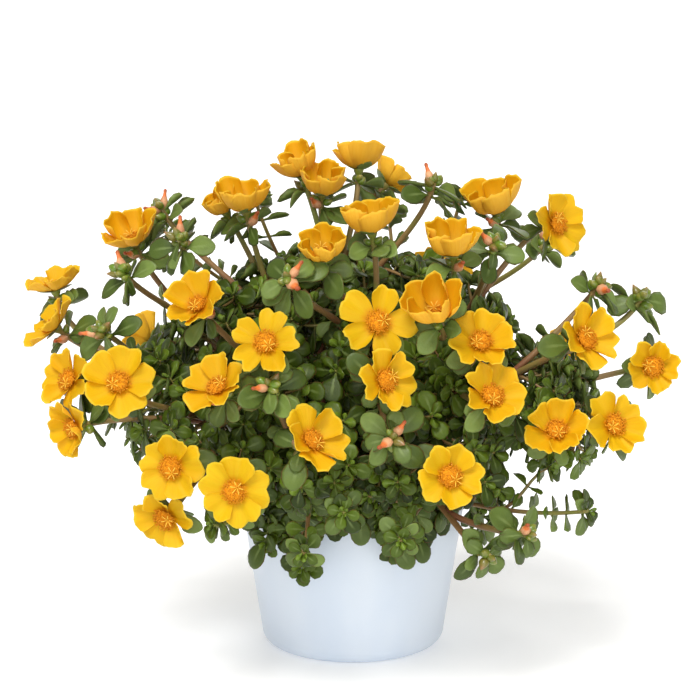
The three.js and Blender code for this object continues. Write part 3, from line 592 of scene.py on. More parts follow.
def places_at(branch, whorl, kind):
    """Every leaf or bud that could grow at a whorl, one for each face and lean."""
    places = []
    for face in range(FACES):
        turn = 2 * np.pi * (face + 0.5) / FACES
        out = whorl["across"] * np.cos(turn) + whorl["third"] * np.sin(turn)
        base = whorl["middle"] + out * whorl["radius"] * np.cos(np.pi / FACES)
        n = 13 * branch["number"] + 3 * whorl["ring"] + face
        for choice, lean in enumerate(LEANS[kind]):
            if kind == "leaf" and choice == 0:
                lean += LEAN_SPREAD * spread(n)
            way, up = leaning(whorl["along"], out, lean)
            scale = LEAST_SCALE + SCALE_SPREAD * spread(n + 5)
            length, droop = SHORTEST_BUD + BUD_SPREAD * spread(n + 2), 0
            if kind == "leaf":
                length = whorl["size"]["length"] * scale
                droop = whorl["size"]["droop"] * length
            places.append(dict(base=base, way=way, up=up, scale=scale, length=length, size=whorl["size"],
                               chance=spread(n + 9), tip=base + way * length - up * droop))
    return places


def standing(name, branches, kind):
    """The places of a stem where a leaf or a bud stands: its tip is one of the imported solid's corners."""
    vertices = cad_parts[name].data.vertices
    corners = np.empty(len(vertices) * 3, np.float32)
    vertices.foreach_get("co", corners)
    corners = corners.reshape(-1, 3) / MM
    places = [place for branch in branches for whorl in branch["whorls"]
              for place in places_at(branch, whorl, kind)]
    tips = np.array([place["tip"] for place in places])
    near = np.abs(tips[:, None] - corners).max(-1).min(1) < AT_A_CORNER
    return [place for place, there in zip(places, near) if there]


def gathered(places, *keys):
    """Arrays of the places' values, one for each key."""
    return [np.array([place[key] for place in places]) for key in keys]


for _, branches in PLAN:
    for branch in branches:
        branch["whorls"] = whorls_of(branch)
LEAVES = {name: standing(name, branches, "leaf") for name, branches in PLAN}
BUDS = {name: standing(name, branches, "bud") for name, branches in PLAN}

# ---------- the leafy stems ----------
# Fleshy stems, red-brown below and olive towards their tips, with thick obovate leaves in whorls, round green
# buds, pointed olive buds and salmon seed capsules that keep the shrivelled orange flower at their tip. Thin
# side shoots with small leaves grow from them into the free space inside the plant.

# A leaf's mesh: the shares of its length that have a ring, and the angles of the ring's points in degrees.
LARGE_SHAPE = ([0.0, 0.12, 0.28, 0.45, 0.62, 0.78, 0.91, 0.98], [0, 42, 90, 138, 180, 225, 270, 315])
SMALL_SHAPE = ([0.02, 0.22, 0.46, 0.7, 0.92], [0, 50, 90, 130, 180, 270])
TINY_SHAPE = ([0.03, 0.34, 0.66, 0.93], [0, 90, 180, 270])
WIDEST, FOLD_SOFTNESS, LEAF_TWIST, LEAF_SWAY = 0.62, 0.04, 0.3, 0.07
LEVEL, MOST_TURN, TURNED_AT = np.array([1, 1, 0.15]), 0.7, 0.4
rng = np.random.default_rng(23)


def marks(one, two, three):
    """The growth values of points, from three arrays of values."""
    return np.stack(np.broadcast_arrays(one, two, three), axis=-1)


def leaf_half_width(x):
    """An obovate leaf's half-width at a share x of its length: a smooth rise from 0.1 at the base to 1 where
    it is widest, then a quarter of an ellipse to the tip."""
    s = np.clip(x / WIDEST, 0, 1)
    rising = 0.1 + 0.9 * (s * s * (3 - 2 * s)) ** 1.15
    return np.where(x > WIDEST, np.sqrt(np.clip(1 - ((x - WIDEST) / (1 - WIDEST)) ** 2, 0, 1)), rising)


def leaf_skins(base, way, up, length, width, thick, droop, fold, tint, shape):
    """Thick leaves. At a share x of the length and an angle a round the section, a point lies length x along
    the leaf, w cos a to its side and t sin a above it, w being the half-width at x and t 0.4 of the thickness
    above and 0.6 below, less where the leaf is narrow. The tip droops by droop length x^2, the sides fold up
    by fold |cos a| w, and the blade twists and bends a little sideways. Its narrow base turns it, by at most
    MOST_TURN radians, to face away from the middle of the plant, as leaves turn to the light."""
    x, around = np.array(shape[0])[:, None], np.radians(shape[1])
    length, half, thick, droop, fold, tint = (
        np.broadcast_to(values, len(base))[:, None, None]
        for values in (length, width / 2, thick, droop, fold, tint))
    side = np.cross(up, way)
    sunward = (base - DOME_CENTRE) * LEVEL
    turn = np.arctan2(-(sunward * side).sum(-1), (sunward * up).sum(-1))[:, None, None]
    twist = rng.uniform(-LEAF_TWIST, LEAF_TWIST, (len(base), 1, 1)) * x
    twist = twist + np.clip(turn, -MOST_TURN, MOST_TURN) * np.clip(x / TURNED_AT, 0, 1)
    sway = rng.uniform(-LEAF_SWAY, LEAF_SWAY, (len(base), 1, 1)) * length
    outline = leaf_half_width(x)
    y = outline * np.cos(around)
    z = np.sin(around) * np.where(np.sin(around) > 0, 0.4, 0.6) * thick * (0.35 + 0.65 * np.sqrt(outline))
    creased = (np.sqrt(np.cos(around) ** 2 + FOLD_SOFTNESS) - FOLD_SOFTNESS ** 0.5) / (
        (1 + FOLD_SOFTNESS) ** 0.5 - FOLD_SOFTNESS ** 0.5)
    rise = z + fold * creased * outline * half
    aside = y * half
    aside, rise = aside * np.cos(twist) - rise * np.sin(twist), aside * np.sin(twist) + rise * np.cos(twist)
    foot, ahead, beyond, above = (vectors[:, None, None] for vectors in (base, way, side, up))
    rings = (foot + ahead * (length * x)[..., None] + beyond * (aside + sway * x ** 2)[..., None]
             + above * (rise - droop * length * x ** 2)[..., None])
    tip = base + way * length[:, 0] + side * sway[:, 0] - up * (droop * length)[:, 0]
    across = np.where(np.sin(around) > -0.01, np.abs(np.cos(around)), 2 - np.abs(np.cos(around)))
    return skin(rings, base - way * 0.8, tip, marks(x, across, tint), 1)


# Profiles (share of the length, share of the radius) of a round bud, a pointed bud and a seed capsule.
ROUND_BUD = np.array([[0.02, 0.5], [0.16, 0.88], [0.4, 1.0], [0.68, 0.8], [0.9, 0.36]])
POINTED_BUD = np.array([[0.02, 0.45], [0.15, 0.8], [0.36, 1.0], [0.6, 0.72], [0.85, 0.26]])
CAPSULE = np.array([[0.02, 0.4], [0.14, 0.78], [0.32, 1.0], [0.5, 0.78], [0.66, 0.46], [0.8, 0.36],
                    [0.91, 0.44], [0.98, 0.24]])
# The kinds of bud: profile, material slot, least and most length of the solid buds that it stands for, how
# much longer it is, its radius and its tint. Then the length, radius and tint of a bud at a branch's end.
BUD_KINDS = ((ROUND_BUD, 2, 5.5, 7.4, 0.2, 2.9, 0.2), (POINTED_BUD, 2, 7.4, 8.6, 1.2, 2.9, 0.9),
             (CAPSULE, 3, 8.6, 10.6, 3.4, 3.3, 0.5))
END_BUD = 7.6, 2.4, 0.7
BUD_COLUMNS, KEEL, BUD_BEND = 8, 0.09, 0.12


def bud_skins(base, way, length, radius, tint, profile, slot):
    """Buds and capsules: a profile turned about the way that they grow, with two soft keels, its point at an
    angle a being r (1 + KEEL cos 2a) from the middle, and bent a little to one side."""
    a = evenly_round(BUD_COLUMNS)
    x, r = profile[:, :1], profile[:, 1:]
    radius = radius[:, None, None] * r * (1 + KEEL * np.cos(2 * a))
    across = beside(way)
    third = np.cross(way, across)
    bend = (rng.uniform(-BUD_BEND, BUD_BEND, len(base)) * length)[:, None, None, None] * (x ** 2)[..., None]
    rings = (base[:, None, None] + way[:, None, None] * (length[:, None, None] * x)[..., None]
             + across[:, None, None] * ((radius * np.cos(a))[..., None] + bend)
             + third[:, None, None] * (radius * np.sin(a))[..., None])
    tip = base + way * length[:, None] + across * bend[:, -1, 0]
    return skin(rings, base - way * 0.5, tip, marks(x, 0, tint[:, None, None]), slot)


def tubes(middles, alongs, across, radii, columns, tips, growth, slot):
    """Tubes round lines of points: rings of radius radii square to alongs, turned so that they face across,
    closed at tips beyond the last ring."""
    a = evenly_round(columns)
    radii = np.broadcast_to(radii, middles.shape[:2])
    across = unit(across[:, None] - alongs * (across[:, None] * alongs).sum(-1, keepdims=True))
    third = np.cross(alongs, across)
    rings = middles[:, :, None] + radii[..., None, None] * (
        across[:, :, None] * np.cos(a)[:, None] + third[:, :, None] * np.sin(a)[:, None])
    return skin(rings, middles[:, 0] - alongs[:, 0] * 0.1, tips, growth, slot)


# How much a stem swells at a joint and over what length, how slim it is beside its solid with blooms or buds
# and with leaves alone, and the cup of the calyx: heights above the stem's end and radii.
SWELL, SWELL_LENGTH = 0.16, 2.2
SLIM, SLIMMER = 0.84, 0.6
CALYX = np.array([[0.8, 2.1], [2.0, 2.7], [3.2, 3.1], [3.9, 2.9]])


def stem_skin(branch):
    """A branch: its route with a radius that narrows from base to tip and swells a little at each whorl, by
    SWELL exp(-(distance / SWELL_LENGTH)^2), then the calyx cup under a bloom."""
    knots, (thick, thin) = branch["knots"], branch["radii"]
    t = np.linspace(0, 1, int(8 + branch["span"] / 6))
    middles, alongs = route_at(knots, t), route_along(knots, t)
    radii = thick + (thin - thick) * t
    for whorl in branch["whorls"]:
        radii = radii * (1 + SWELL * np.exp(-(((t - whorl["t"]) * branch["span"] / SWELL_LENGTH) ** 2)))
    radii *= SLIMMER if "leaves" in branch else SLIM
    age = 1 - t if branch["main"] else 0.75 - 0.75 * t
    if branch["main"]:
        below = branch["foot"] + (middles[0] - branch["foot"]) * np.array([[0.0], [0.5]])
        middles = np.concatenate([below, middles])
        alongs = np.concatenate([[UP, UP], alongs])
        radii = np.concatenate([[thick, thick], radii])
        age = np.concatenate([[1, 1], age])
    tip = middles[-1] + branch["way"] * 0.8
    if "bloom" in branch:
        middles = np.concatenate([middles, middles[-1] + branch["way"] * CALYX[:, :1]])
        alongs = np.concatenate([alongs, np.repeat(branch["way"][None], len(CALYX), axis=0)])
        radii = np.concatenate([radii, CALYX[:, 1]])
        age = np.concatenate([age, np.full(len(CALYX), -0.25)])
        tip = middles[-1] + branch["way"] * 0.3
    span = knots[3] - knots[0]
    aside = unit(np.cross(span, UP if abs(span[2]) < 0.95 * branch["span"] else np.array([0.0, 1.0, 0.0])))
    growth = marks(age[:, None], 0, spread(branch["number"]))
    return tubes(middles[None], alongs[None], aside[None], radii, 10, tip[None], growth, 0)


SEATS, AXES = gathered(BLOOMS, "seat", "way")
CUP_RADIUS, CUP_HEIGHT = np.array([petal_line(*branch["bloom"][1:3], 1)[:2] for branch in BLOOMS]).T
CUP_FOOT, BEFORE_BLOOM = 4, 22.0


def in_a_bloom(points, margin):
    """Which points lie in a bloom's cup or close before it: r from its axis, at a height h along it, is less
    than the petals' plus a margin, up to BEFORE_BLOOM past the rim."""
    away = points[..., None, :] - SEATS
    h = (away * AXES).sum(-1)
    r = np.linalg.norm(away - h[..., None] * AXES, axis=-1)
    widening = CUP_FOOT + (CUP_RADIUS - CUP_FOOT) * np.clip(h / CUP_HEIGHT, 0, 1)
    cup = widening * (1 - 0.3 * np.clip((h - CUP_HEIGHT) / BEFORE_BLOOM, 0, 1))
    return ((h > -margin) & (h < CUP_HEIGHT + BEFORE_BLOOM) & (r < cup + margin)).any(-1)


def in_the_pot(points):
    """Which points lie in the pot's wall or under its rim."""
    radius = np.linalg.norm(points[..., :2], axis=-1)
    z = points[..., 2]
    wall = (radius < pot_outside(z) + 2) & (radius > pot_outside(z) - POT_WALL - 1.5) & (z < POT_HEIGHT + 1.5)
    return wall | ((radius < POT_RIM) & (z < SOIL_TOP + 2)) | (z < 2)


# Side shoots: the step between them, the ends that are tried for each, their length, the share of a branch
# that bears them, the least and the most room that counts at an end, and how far out in the dome an end may
# be at a few heights. Then how leaves grow longer with height, and how their colour is painted lighter with
# distance from the middle: painted shade that darkens the leaves deep inside the plant.
SHOOT_SPACING, SHOOT_TRIES, SHOOT_LENGTH = 7.0, 12, (14.0, 46.0)
SHOOTS_END, WHORL_ROOM, FULL_ROOM = 0.66, 10.5, 15
REACH_AT = (128.0, 165.0, 205.0), (0.87, 0.78, 0.67)
VIGOUR, MORE_VIGOUR, VIGOUR_FROM, VIGOUR_OVER = 0.92, 0.42, 115, 70
PAINTED_LIGHT_FROM, PAINTED_LIGHT_OVER, LEAST_PAINTED_LIGHT = 0.36, 0.44, 0.04
# The foliage's lower edge: its height at a radius, how it rises outwards and how far it lies to the right.
SKIRT_START, SKIRT_RADIUS, SKIRT_RISE, SKIRT_SHIFT = 90.0, 72.0, 0.55, 12.0
# Shoots that hang over the pot's rim: bearing and height of the end at the front, then evenly round the back.
FRONT_HANGING = ((-60, 104), (-53, 94), (-47, 106), (-41, 93), (-34, 80), (-36, 108), (-29, 94), (-25, 84),
                 (-22, 106), (-20, 69), (-15, 92), (-12, 103), (-7, 95), (-1, 112), (2, 99), (10, 109),
                 (11, 93), (16, 81), (18, 112), (21, 95), (26, 84), (27, 105), (34, 92), (39, 98), (46, 107))
BACK_HANGING = [(bearing, 74 + 34 * spread(bearing)) for bearing in range(56, 300, 9)]
HANGING_ROOT, HANGING_REACH, HANGING_ARCH, HANGING_DROP = 62.0, 81.0, 46.0, 26
# The depths of the knots of a hanging rosette's own short route, and where a hanging shoot's leaves point, in
# degrees from straight down, give or take a spread.
ROSETTE_DEPTHS = np.array([[4.0], [2.7], [1.3], [0.0]])
SIDEWAYS, SIDEWAYS_SPREAD = 76, 22
# The hanging shoots that also have a large leaf, by their place in the list: how far it points from straight
# down, in degrees.
LARGE_HANGING = {4: -24, 11: -70, 14: 6, 17: 24, 20: 8, 23: -30, 30: 20, 37: -35, 44: 10}
taken = [whorl["middle"] for _, branches in PLAN for branch in branches for whorl in branch["whorls"]]


def in_dome_share(points):
    """How far out points lie, as a share of the dome's size."""
    return np.linalg.norm((points - DOME_CENTRE) / DOME_SIZE, axis=-1)


def below_skirt(points):
    """Which points lie below the foliage's lower edge, which rises outwards from just under the pot's rim."""
    radius = np.linalg.norm(points[..., :2] - [SKIRT_SHIFT, 0], axis=-1)
    return points[..., 2] < SKIRT_START + SKIRT_RISE * (radius - SKIRT_RADIUS)


def free_shoot(start, along):
    """The knots of a shoot from a point of a stem to the freest of a few places round it, or None where none
    is free: clear of blooms, pot and the foliage's edges, and the furthest from the whorls that are there."""
    ways = rng.normal(size=(SHOOT_TRIES, 3))
    ways = unit(ways - along * (ways @ along)[:, None]) + along * rng.uniform(-0.1, 0.9, (SHOOT_TRIES, 1))
    outwards = unit((start - DOME_CENTRE) / DOME_SIZE + UP * 0.1)
    low = start[2] < REACH_AT[0][0]
    ways = unit(ways + outwards * 0.5 + UP * (-0.4 if low else 0.15))
    ends = start + ways * rng.uniform(*SHOOT_LENGTH, (SHOOT_TRIES, 1))
    faces = unit(ways * 0.5 + unit((ends - DOME_CENTRE) / DOME_SIZE) + UP * (0.1 if low else 0.5))
    knots = route_knots(np.broadcast_to(start, ends.shape), unit(along * 0.6 + ways), ends, faces)
    run = route_at(knots, [0.3, 0.6, 0.85, 1.0])
    bad = (in_a_bloom(run, 5.0) | in_the_pot(run)).any(-1) | in_the_pot(ends + faces * 4)
    bad |= below_skirt(ends) | (in_dome_share(ends) > np.interp(ends[:, 2], *REACH_AT))
    room = np.linalg.norm(ends[:, None] - np.array(taken), axis=-1).min(1)
    room = np.where(bad, 0, np.minimum(room, FULL_ROOM) + 4 * in_dome_share(ends))
    best = room.argmax()
    if room[best] < WHORL_ROOM:
        return None
    taken.append(ends[best])
    return knots[best]


def shoots_of(branches):
    """The side shoots of a stem's branches, started at even steps along the inner part of each."""
    shoots = []
    for branch in branches:
        t = np.arange(0.06 if branch["main"] else 0.12, SHOOTS_END, SHOOT_SPACING / branch["span"])
        for start, along in zip(route_at(branch["knots"], t), route_along(branch["knots"], t)):
            shoots.append(free_shoot(start, along))
    return np.array([shoot for shoot in shoots if shoot is not None])


def ring_of_leaves(knots, t, count, first, lean, length, width, tint):
    """Arrays of leaves: count of them round each shoot at a share t of its run, evenly turned from the angle
    first on. Their lean and length are spread at random between two values, and width is a share of length.
    Leaves are longer high up in the plant, and painted darker deep inside it: painted shade, by a lower tint."""
    middle, along = route_at(knots, [t])[:, 0], route_along(knots, [t])[:, 0]
    across = beside(along)
    third = np.cross(along, across)
    turn = (first[:, None] + evenly_round(count) + rng.uniform(-0.2, 0.2, (len(knots), count)))[..., None]
    out = across[:, None] * np.cos(turn) + third[:, None] * np.sin(turn)
    way, up = leaning(along[:, None], out, rng.uniform(*lean, (len(knots), count)))
    base = middle[:, None] + out * 0.5
    vigour = VIGOUR + MORE_VIGOUR * np.clip((knots[:, 3, 2:] - VIGOUR_FROM) / VIGOUR_OVER, 0, 1)
    length = vigour * rng.uniform(*length, (len(knots), 1)) * rng.uniform(0.85, 1.1, (len(knots), count))
    # Painted shade: deep inside the plant the tint's random part shrinks, so the leaves there are coloured
    # darker.
    painted_light = np.clip((in_dome_share(knots[:, 3]) - PAINTED_LIGHT_FROM) / PAINTED_LIGHT_OVER, LEAST_PAINTED_LIGHT, 1)[:, None]
    tint = np.broadcast_to(rng.uniform(0, 0.98, (len(knots), 1)) * painted_light + tint, length.shape)
    return [values.reshape(-1, *values.shape[2:]) for values in (base, way, up, length, length * width, tint)]


def small_leaf_skins(leaves, shape):
    """Small leaves from their arrays, without those that would lie in a bloom or in the pot."""
    base, way, up, length, width, tint = (np.concatenate(values) for values in zip(*leaves))
    middle = base + way * 0.5 * length[:, None]
    tip = base + way * length[:, None]
    clear = ~(in_a_bloom(np.stack([middle, tip]), 1.5) | in_the_pot(np.stack([middle, tip]))).any(0)
    base, way, up, length, width, tint = (values[clear] for values in (base, way, up, length, width, tint))
    return leaf_skins(base, way, up, length, width, 0.14 * length, 0.06 + 0.1 * rng.random(len(base)),
                      0.1 + 0.25 * rng.random(len(base)), tint, shape)


def shoot_tubes(knots):
    """The thin stems of shoots, of radius 1.15 at the root and 0.75 at the tip."""
    t = np.linspace(0, 1, 6)
    alongs = route_along(knots, t)
    growth = marks(0.45 - 0.45 * t[:, None], 0, rng.random((len(knots), 1, 1)))
    return tubes(route_at(knots, t), alongs, beside(knots[:, 3] - knots[:, 0]), 1.15 - 0.4 * t, 4,
                 knots[:, 3] + alongs[:, -1], growth, 0)


def shoot_parts(knots):
    """Thin tubes along the shoots, each with up to two pairs of leaves and a rosette at its end: two pairs of
    round leaves, a pair of half-grown ones and a pair of tiny ones, each turned from the one before."""
    reach = np.linalg.norm(knots[:, 3] - knots[:, 0], axis=-1)
    first = rng.uniform(0, 2 * np.pi, len(knots))
    leaves = [ring_of_leaves(knots, 0.93, 2, first, (70, 95), (10.0, 13.5), 0.8, 1),
              ring_of_leaves(knots, 0.96, 2, first + np.pi / 2, (60, 85), (9.0, 12.5), 0.8, 1)]
    inner = [ring_of_leaves(knots, 0.98, 2, first + np.pi / 4, (44, 62), (6.5, 8.5), 0.76, 1.5),
             ring_of_leaves(knots, 1.0, 2, first + 3 * np.pi / 4, (16, 36), (4.0, 6.0), 0.65, 2)]
    for t, least in ((0.5, 22), (0.72, 32)):
        leaves.append(ring_of_leaves(knots[reach > least], t, 2, first[reach > least] + 40 * t, (55, 85),
                                     (9.0, 13.0), 0.74, 1))
    return [shoot_tubes(knots), small_leaf_skins(leaves, SMALL_SHAPE), small_leaf_skins(inner, TINY_SHAPE)]


def end_rosettes(knots):
    """Pairs of round leaves along the outer half of each route and young leaves at its end, which is the
    foliage of the branches that bear leaves alone."""
    first = rng.uniform(0, 2 * np.pi, len(knots))
    leaves = [ring_of_leaves(knots, t, 2, first + 9 * t, (62, 100), (10.0, 14.5), 0.78, 1)
              for t in (0.52, 0.63, 0.74, 0.85, 0.95)]
    leaves.append(ring_of_leaves(knots, 0.99, 4, first, (55, 80), (8.0, 11.0), 0.78, 1))
    inner = [ring_of_leaves(knots, 1.0, 4, first + 0.8, (14, 40), (4.5, 6.5), 0.7, 2)]
    return [small_leaf_skins(leaves, SMALL_SHAPE), small_leaf_skins(inner, TINY_SHAPE)]


def leaves_over_the_rim(knots, t, turn, lean, length, width, tint):
    """Arrays of leaves, one at a share t of each hanging shoot, that show their upper faces outwards. Each
    points turn degrees from straight down and stands lean degrees off the pot."""
    outwards = unit(knots[:, 3] * [1, 1, 0])
    turn, lean = (np.radians(rng.uniform(*limits, (len(knots), 1))) for limits in (turn, lean))
    flat = np.cross(UP, outwards) * np.sin(turn) - UP * np.cos(turn)
    way, up = flat * np.cos(lean) + outwards * np.sin(lean), outwards * np.cos(lean) - flat * np.sin(lean)
    length = rng.uniform(*length, len(knots))
    # Painted shade: these tints keep to the darker part of the range, for leaves that hang in the shade of the
    # foliage above the rim.
    tint = rng.uniform(0, 0.6, len(knots)) + tint
    return [route_at(knots, [t])[:, 0], way, up, length, length * width, tint]


def hanging_parts(knots):
    """The hanging shoots' thin stems with pairs of round leaves on each side, a rosette at the end that faces
    outwards, and here and there a large leaf that hangs down."""
    outwards = unit(knots[:, 3] * [1, 1, 0])
    faces = unit(outwards + rng.uniform(-0.3, 0.3, (len(knots), 3)))
    rosette = knots[:, 3:] - faces[:, None] * ROSETTE_DEPTHS
    first = rng.uniform(0, 2 * np.pi, len(knots))
    leaves = [ring_of_leaves(rosette, 0.1, 4, first, (76, 98), (11.5, 15.5), 0.82, 1),
              ring_of_leaves(rosette, 0.6, 4, first + np.pi / 4, (58, 78), (9.0, 12.0), 0.82, 1)]
    for t in (0.66, 0.8, 0.92):
        leaves += [leaves_over_the_rim(knots, t, (side - SIDEWAYS_SPREAD, side + SIDEWAYS_SPREAD), (12, 40),
                                       (10.5, 14.5), 0.82, 1) for side in (-SIDEWAYS, SIDEWAYS)]
    inner = [ring_of_leaves(rosette, 1.0, 4, first + 0.4, (18, 44), (5.0, 7.5), 0.7, 2)]
    large = [leaves_over_the_rim(knots[place:place + 1], 0.95, (turn, turn + 1), (14, 24), (18.0, 21.0),
                                 0.62, 0) for place, turn in LARGE_HANGING.items()]
    return [shoot_tubes(knots), small_leaf_skins(leaves, SMALL_SHAPE), small_leaf_skins(inner, TINY_SHAPE),
            small_leaf_skins(large, LARGE_SHAPE)]


def hanging_shoots():
    """The knots of the shoots that rise from the soil by the pot's wall, arch over its rim and hang down."""
    bearing, height = np.array(FRONT_HANGING + tuple(BACK_HANGING), float).T
    reach = HANGING_REACH + 8 * spread(bearing * 3)
    out = towards(bearing, 0 * bearing)
    start = out * HANGING_ROOT + UP * (SOIL_TOP - 1)
    end = out * reach[:, None] + UP * height[:, None]
    outwards = unit(end * [1, 1, 0])
    return np.stack([start, start + outwards * 3 + UP * HANGING_ARCH, end + outwards * 2 + UP * HANGING_DROP,
                     end], axis=1)


HIGH_WHORL = 205.0


def whorl_extras(branches):
    """More leaves and small green buds in the whorls under blooms and buds, between those of the solid."""
    tops = [whorl for branch in branches for whorl in branch["whorls"] if whorl["size"] is LARGE_LEAF]
    middle, along = gathered(tops, "middle", "along")
    knots = np.stack([middle - along * 3, middle - along, middle + along, middle + along * 3], axis=1)
    first = rng.uniform(0, 2 * np.pi, len(tops))
    high = middle[:, 2] > HIGH_WHORL
    leaves = [ring_of_leaves(knots[here], 0.35, count, first[here], (66, 130), (11.5, 15.5), 0.7, 0)
              for here, count in ((high, 2), (~high, 3))]
    base, way, _, length, _, tint = ring_of_leaves(knots, 0.8, 2, first + 1, (38, 70), (4.0, 6.0), 1.0, 0)
    clear = ~in_a_bloom(base + way * length[:, None], 0.5)
    base, way, length, tint = (values[clear] for values in (base, way, length, tint))
    buds = bud_skins(base + way * 0.8, way, length, 0.4 * length, 0.5 * tint, ROUND_BUD, 2)
    return [small_leaf_skins(leaves, SMALL_SHAPE), buds]


def placed_leaves(places, large):
    """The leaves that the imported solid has, with the finer outline."""
    places = [place for place in places if (place["size"] is LARGE_LEAF) == large]
    base, way, up, length, scale, chance = gathered(places, "base", "way", "up", "length", "scale", "chance")
    size = LARGE_LEAF if large else SMALL_LEAF
    return leaf_skins(base, way, up, length, size["width"] * scale, size["thick"] * 0.85, size["droop"],
                      size["fold"] * (0.5 + chance), chance, LARGE_SHAPE)


def placed_buds(places):
    """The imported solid's buds: short ones are round, middling ones pointed, long ones seed capsules."""
    parts = []
    for profile, slot, least, most, longer, wide, tint in BUD_KINDS:
        kind = [place for place in places if least <= place["length"] < most]
        if kind:
            base, way, length, chance = gathered(kind, "base", "way", "length", "chance")
            parts.append(bud_skins(base, way, length + longer, wide * (0.85 + 0.25 * chance),
                                   tint + 0.1 * chance, profile, slot))
    return parts


def end_buds(branches):
    """The pointed bud at the end of each branch that bears buds."""
    ends = [branch for branch in branches if "buds" in branch]
    if not ends:
        return []
    knots, way = gathered(ends, "knots", "way")
    return [bud_skins(knots[:, 3], way, *(np.full(len(ends), value) for value in END_BUD), POINTED_BUD, 2)]


def sheet(upper, lower, growth_upper, growth_lower, slot):
    """Closed thin sheets from their upper and lower faces, grids of points (copies, rows, columns, 3), joined
    by a wall round the edge. Along its rows, the upper face points to the left of the columns' way."""
    copies, rows, columns = upper.shape[:3]
    count = rows * columns
    points, growth = (
        np.concatenate([np.broadcast_to(side, upper.shape).reshape(copies, -1, 3) for side in sides], axis=1)
        for sides in ((upper, lower), (growth_upper, growth_lower)))
    grid = np.arange(count).reshape(rows, columns)
    a, b, c, d = (corner.ravel() for corner in (grid[:-1, :-1], grid[1:, :-1], grid[1:, 1:], grid[:-1, 1:]))
    edge = np.concatenate([grid[:-1, 0], grid[-1, :-1], grid[:0:-1, -1], grid[0, :0:-1]])
    onward = np.roll(edge, -1)
    quads = np.concatenate([np.stack([a, b, c, d], axis=-1), np.stack([a, d, c, b], axis=-1) + count,
                            np.stack([onward, edge, edge + count, onward + count], axis=-1)])
    offset = np.arange(copies)[:, None, None] * 2 * count
    return (points.reshape(-1, 3), (quads + offset).reshape(-1, 4), np.empty((0, 3), int),
            growth.reshape(-1, 3), slot)


def turned_to(branch, points):
    """Points of a bloom that opens upwards, turned by the shortest arc to its branch's way and moved to its
    seat."""
    turn = np.array(Vector(UP).rotation_difference(Vector(branch["way"])).to_matrix())
    return points @ turn.T + branch["seat"]


def face_of(branch, line, angle, outside):
    """A face of a bloom's petals or sepals: points at angles round it, outside their middle line."""
    radius, height, lean = line
    return turned_to(branch, polar(radius + outside * np.cos(lean), angle, height - outside * np.sin(lean)))


SEPAL_LENGTH, SEPAL_HALF, SEPAL_THICK, SEPAL_BELOW, SEPAL_AWAY = 9.0, 58.0, 0.5, 0.7, 1.5


def sepals(branch):
    """The two green sepals under a bloom: they follow the petals' middle line outside it, by SEPAL_AWAY more
    at their tips. At a share x of their length and w of their half-width they lie w 58 (1.02 - x^2.2) degrees
    round the bloom from their middle."""
    length, opening = branch["bloom"][1:3]
    x = np.linspace(0.0, 1.0, 7)[:, None]
    w = np.linspace(-1, 1, 7)
    line = petal_line(length, opening, x * SEPAL_LENGTH / length)
    side = np.array([0.3, np.pi + 0.3])[:, None, None] + branch["number"]
    angle = side + np.radians(SEPAL_HALF) * w * (1.02 - x ** 2.2)
    above = SEPAL_BELOW + SEPAL_AWAY * x
    upper, lower = (face_of(branch, line, angle, outside)
                    for outside in (above, above + SEPAL_THICK * (1 - 0.5 * x)))
    growth = marks(0.3 + 0.7 * x, 1.5, 0.9)
    return sheet(upper, lower, growth, growth, 1)


def stem_surface():
    """Smooth fleshy stem: red-brown where it is old, olive where it is young, green at the cup under a bloom,
    flushed with red in blotches."""
    material, tree, surface = finish_material("stem_flesh", Specular_IOR_Level=0.35)
    age, _, chance = growth_of(tree)
    blotch, grain = mottle(tree, 45.0, 1400.0)
    old = washed(tree, tone(116, 56, 42), (blotch, 0.35, 0.65, 0, 1, tone(138, 86, 64)))
    young = washed(tree, tone(136, 116, 68), (blotch, 0.4, 0.62, 0, 1, tone(122, 130, 60)))
    colour = washed(tree, young, (age, 0.1, 0.8, 0, 1, old), (age, -0.15, 0.05, 1, 0, tone(112, 128, 44)))
    colour = blend(tree, sums(tree, "MULTIPLY", chance, 0.4), colour, tone(146, 94, 66))
    cover(tree, surface, colour, grain, 0.25, 0.0004, band(tree, grain, 0.3, 0.7, 0.36, 0.5))
    return material


def leaf_surface():
    """Thick leaf: deep green above with a pale midrib, paler below, a thin reddish edge and a pale foot. Its
    tint is 0 to 1 in a large leaf, 1 to 2 in a side shoot's and 2 to 3 in the youngest."""
    material, tree, surface = finish_material("leaf_flesh", Specular_IOR_Level=0.25)
    along, across, tint = growth_of(tree)
    blotch, grain = mottle(tree, 90.0, 1100.0)
    # A low tint gives a dark colour. It is partly a leaf's own darker tone and partly painted shade, which
    # ring_of_leaves and leaves_over_the_rim set for leaves deep inside the plant and under the foliage's edge.
    large = blend(tree, tint, tone(60, 77, 22), tone(110, 130, 62))
    shoot = blend(tree, sums(tree, "SUBTRACT", tint, 1.0), tone(36, 51, 0), tone(88, 110, 22))
    rib = sums(tree, "MULTIPLY", band(tree, across, 0.04, 0.2, 0.4, 0), band(tree, along, 0.5, 0.9, 1, 0))
    edge = sums(tree, "MULTIPLY", band(tree, across, 0.9, 0.99), band(tree, across, 1.01, 1.1, 1, 0))
    edge = sums(tree, "MULTIPLY", edge, band(tree, blotch, 0.35, 0.6, 0.1, 0.75))
    colour = washed(tree, large, (tint, 0.98, 1.02, 0, 1, shoot), (tint, 1.98, 2.02, 0, 1, tone(98, 122, 32)),
                    (blotch, 0.4, 0.75, 0, 0.35, tone(40, 56, 16)),
                    (across, 1.1, 1.35, 0, 0.55, tone(110, 126, 68)))
    colour = blend(tree, rib, colour, tone(130, 148, 88))
    colour = blend(tree, edge, colour, tone(112, 62, 40))
    colour = washed(tree, colour, (along, 0.02, 0.2, 0.5, 0, tone(122, 128, 60)))
    cover(tree, surface, colour, grain, 0.3, 0.0005, band(tree, blotch, 0.3, 0.7, 0.34, 0.5))
    return material


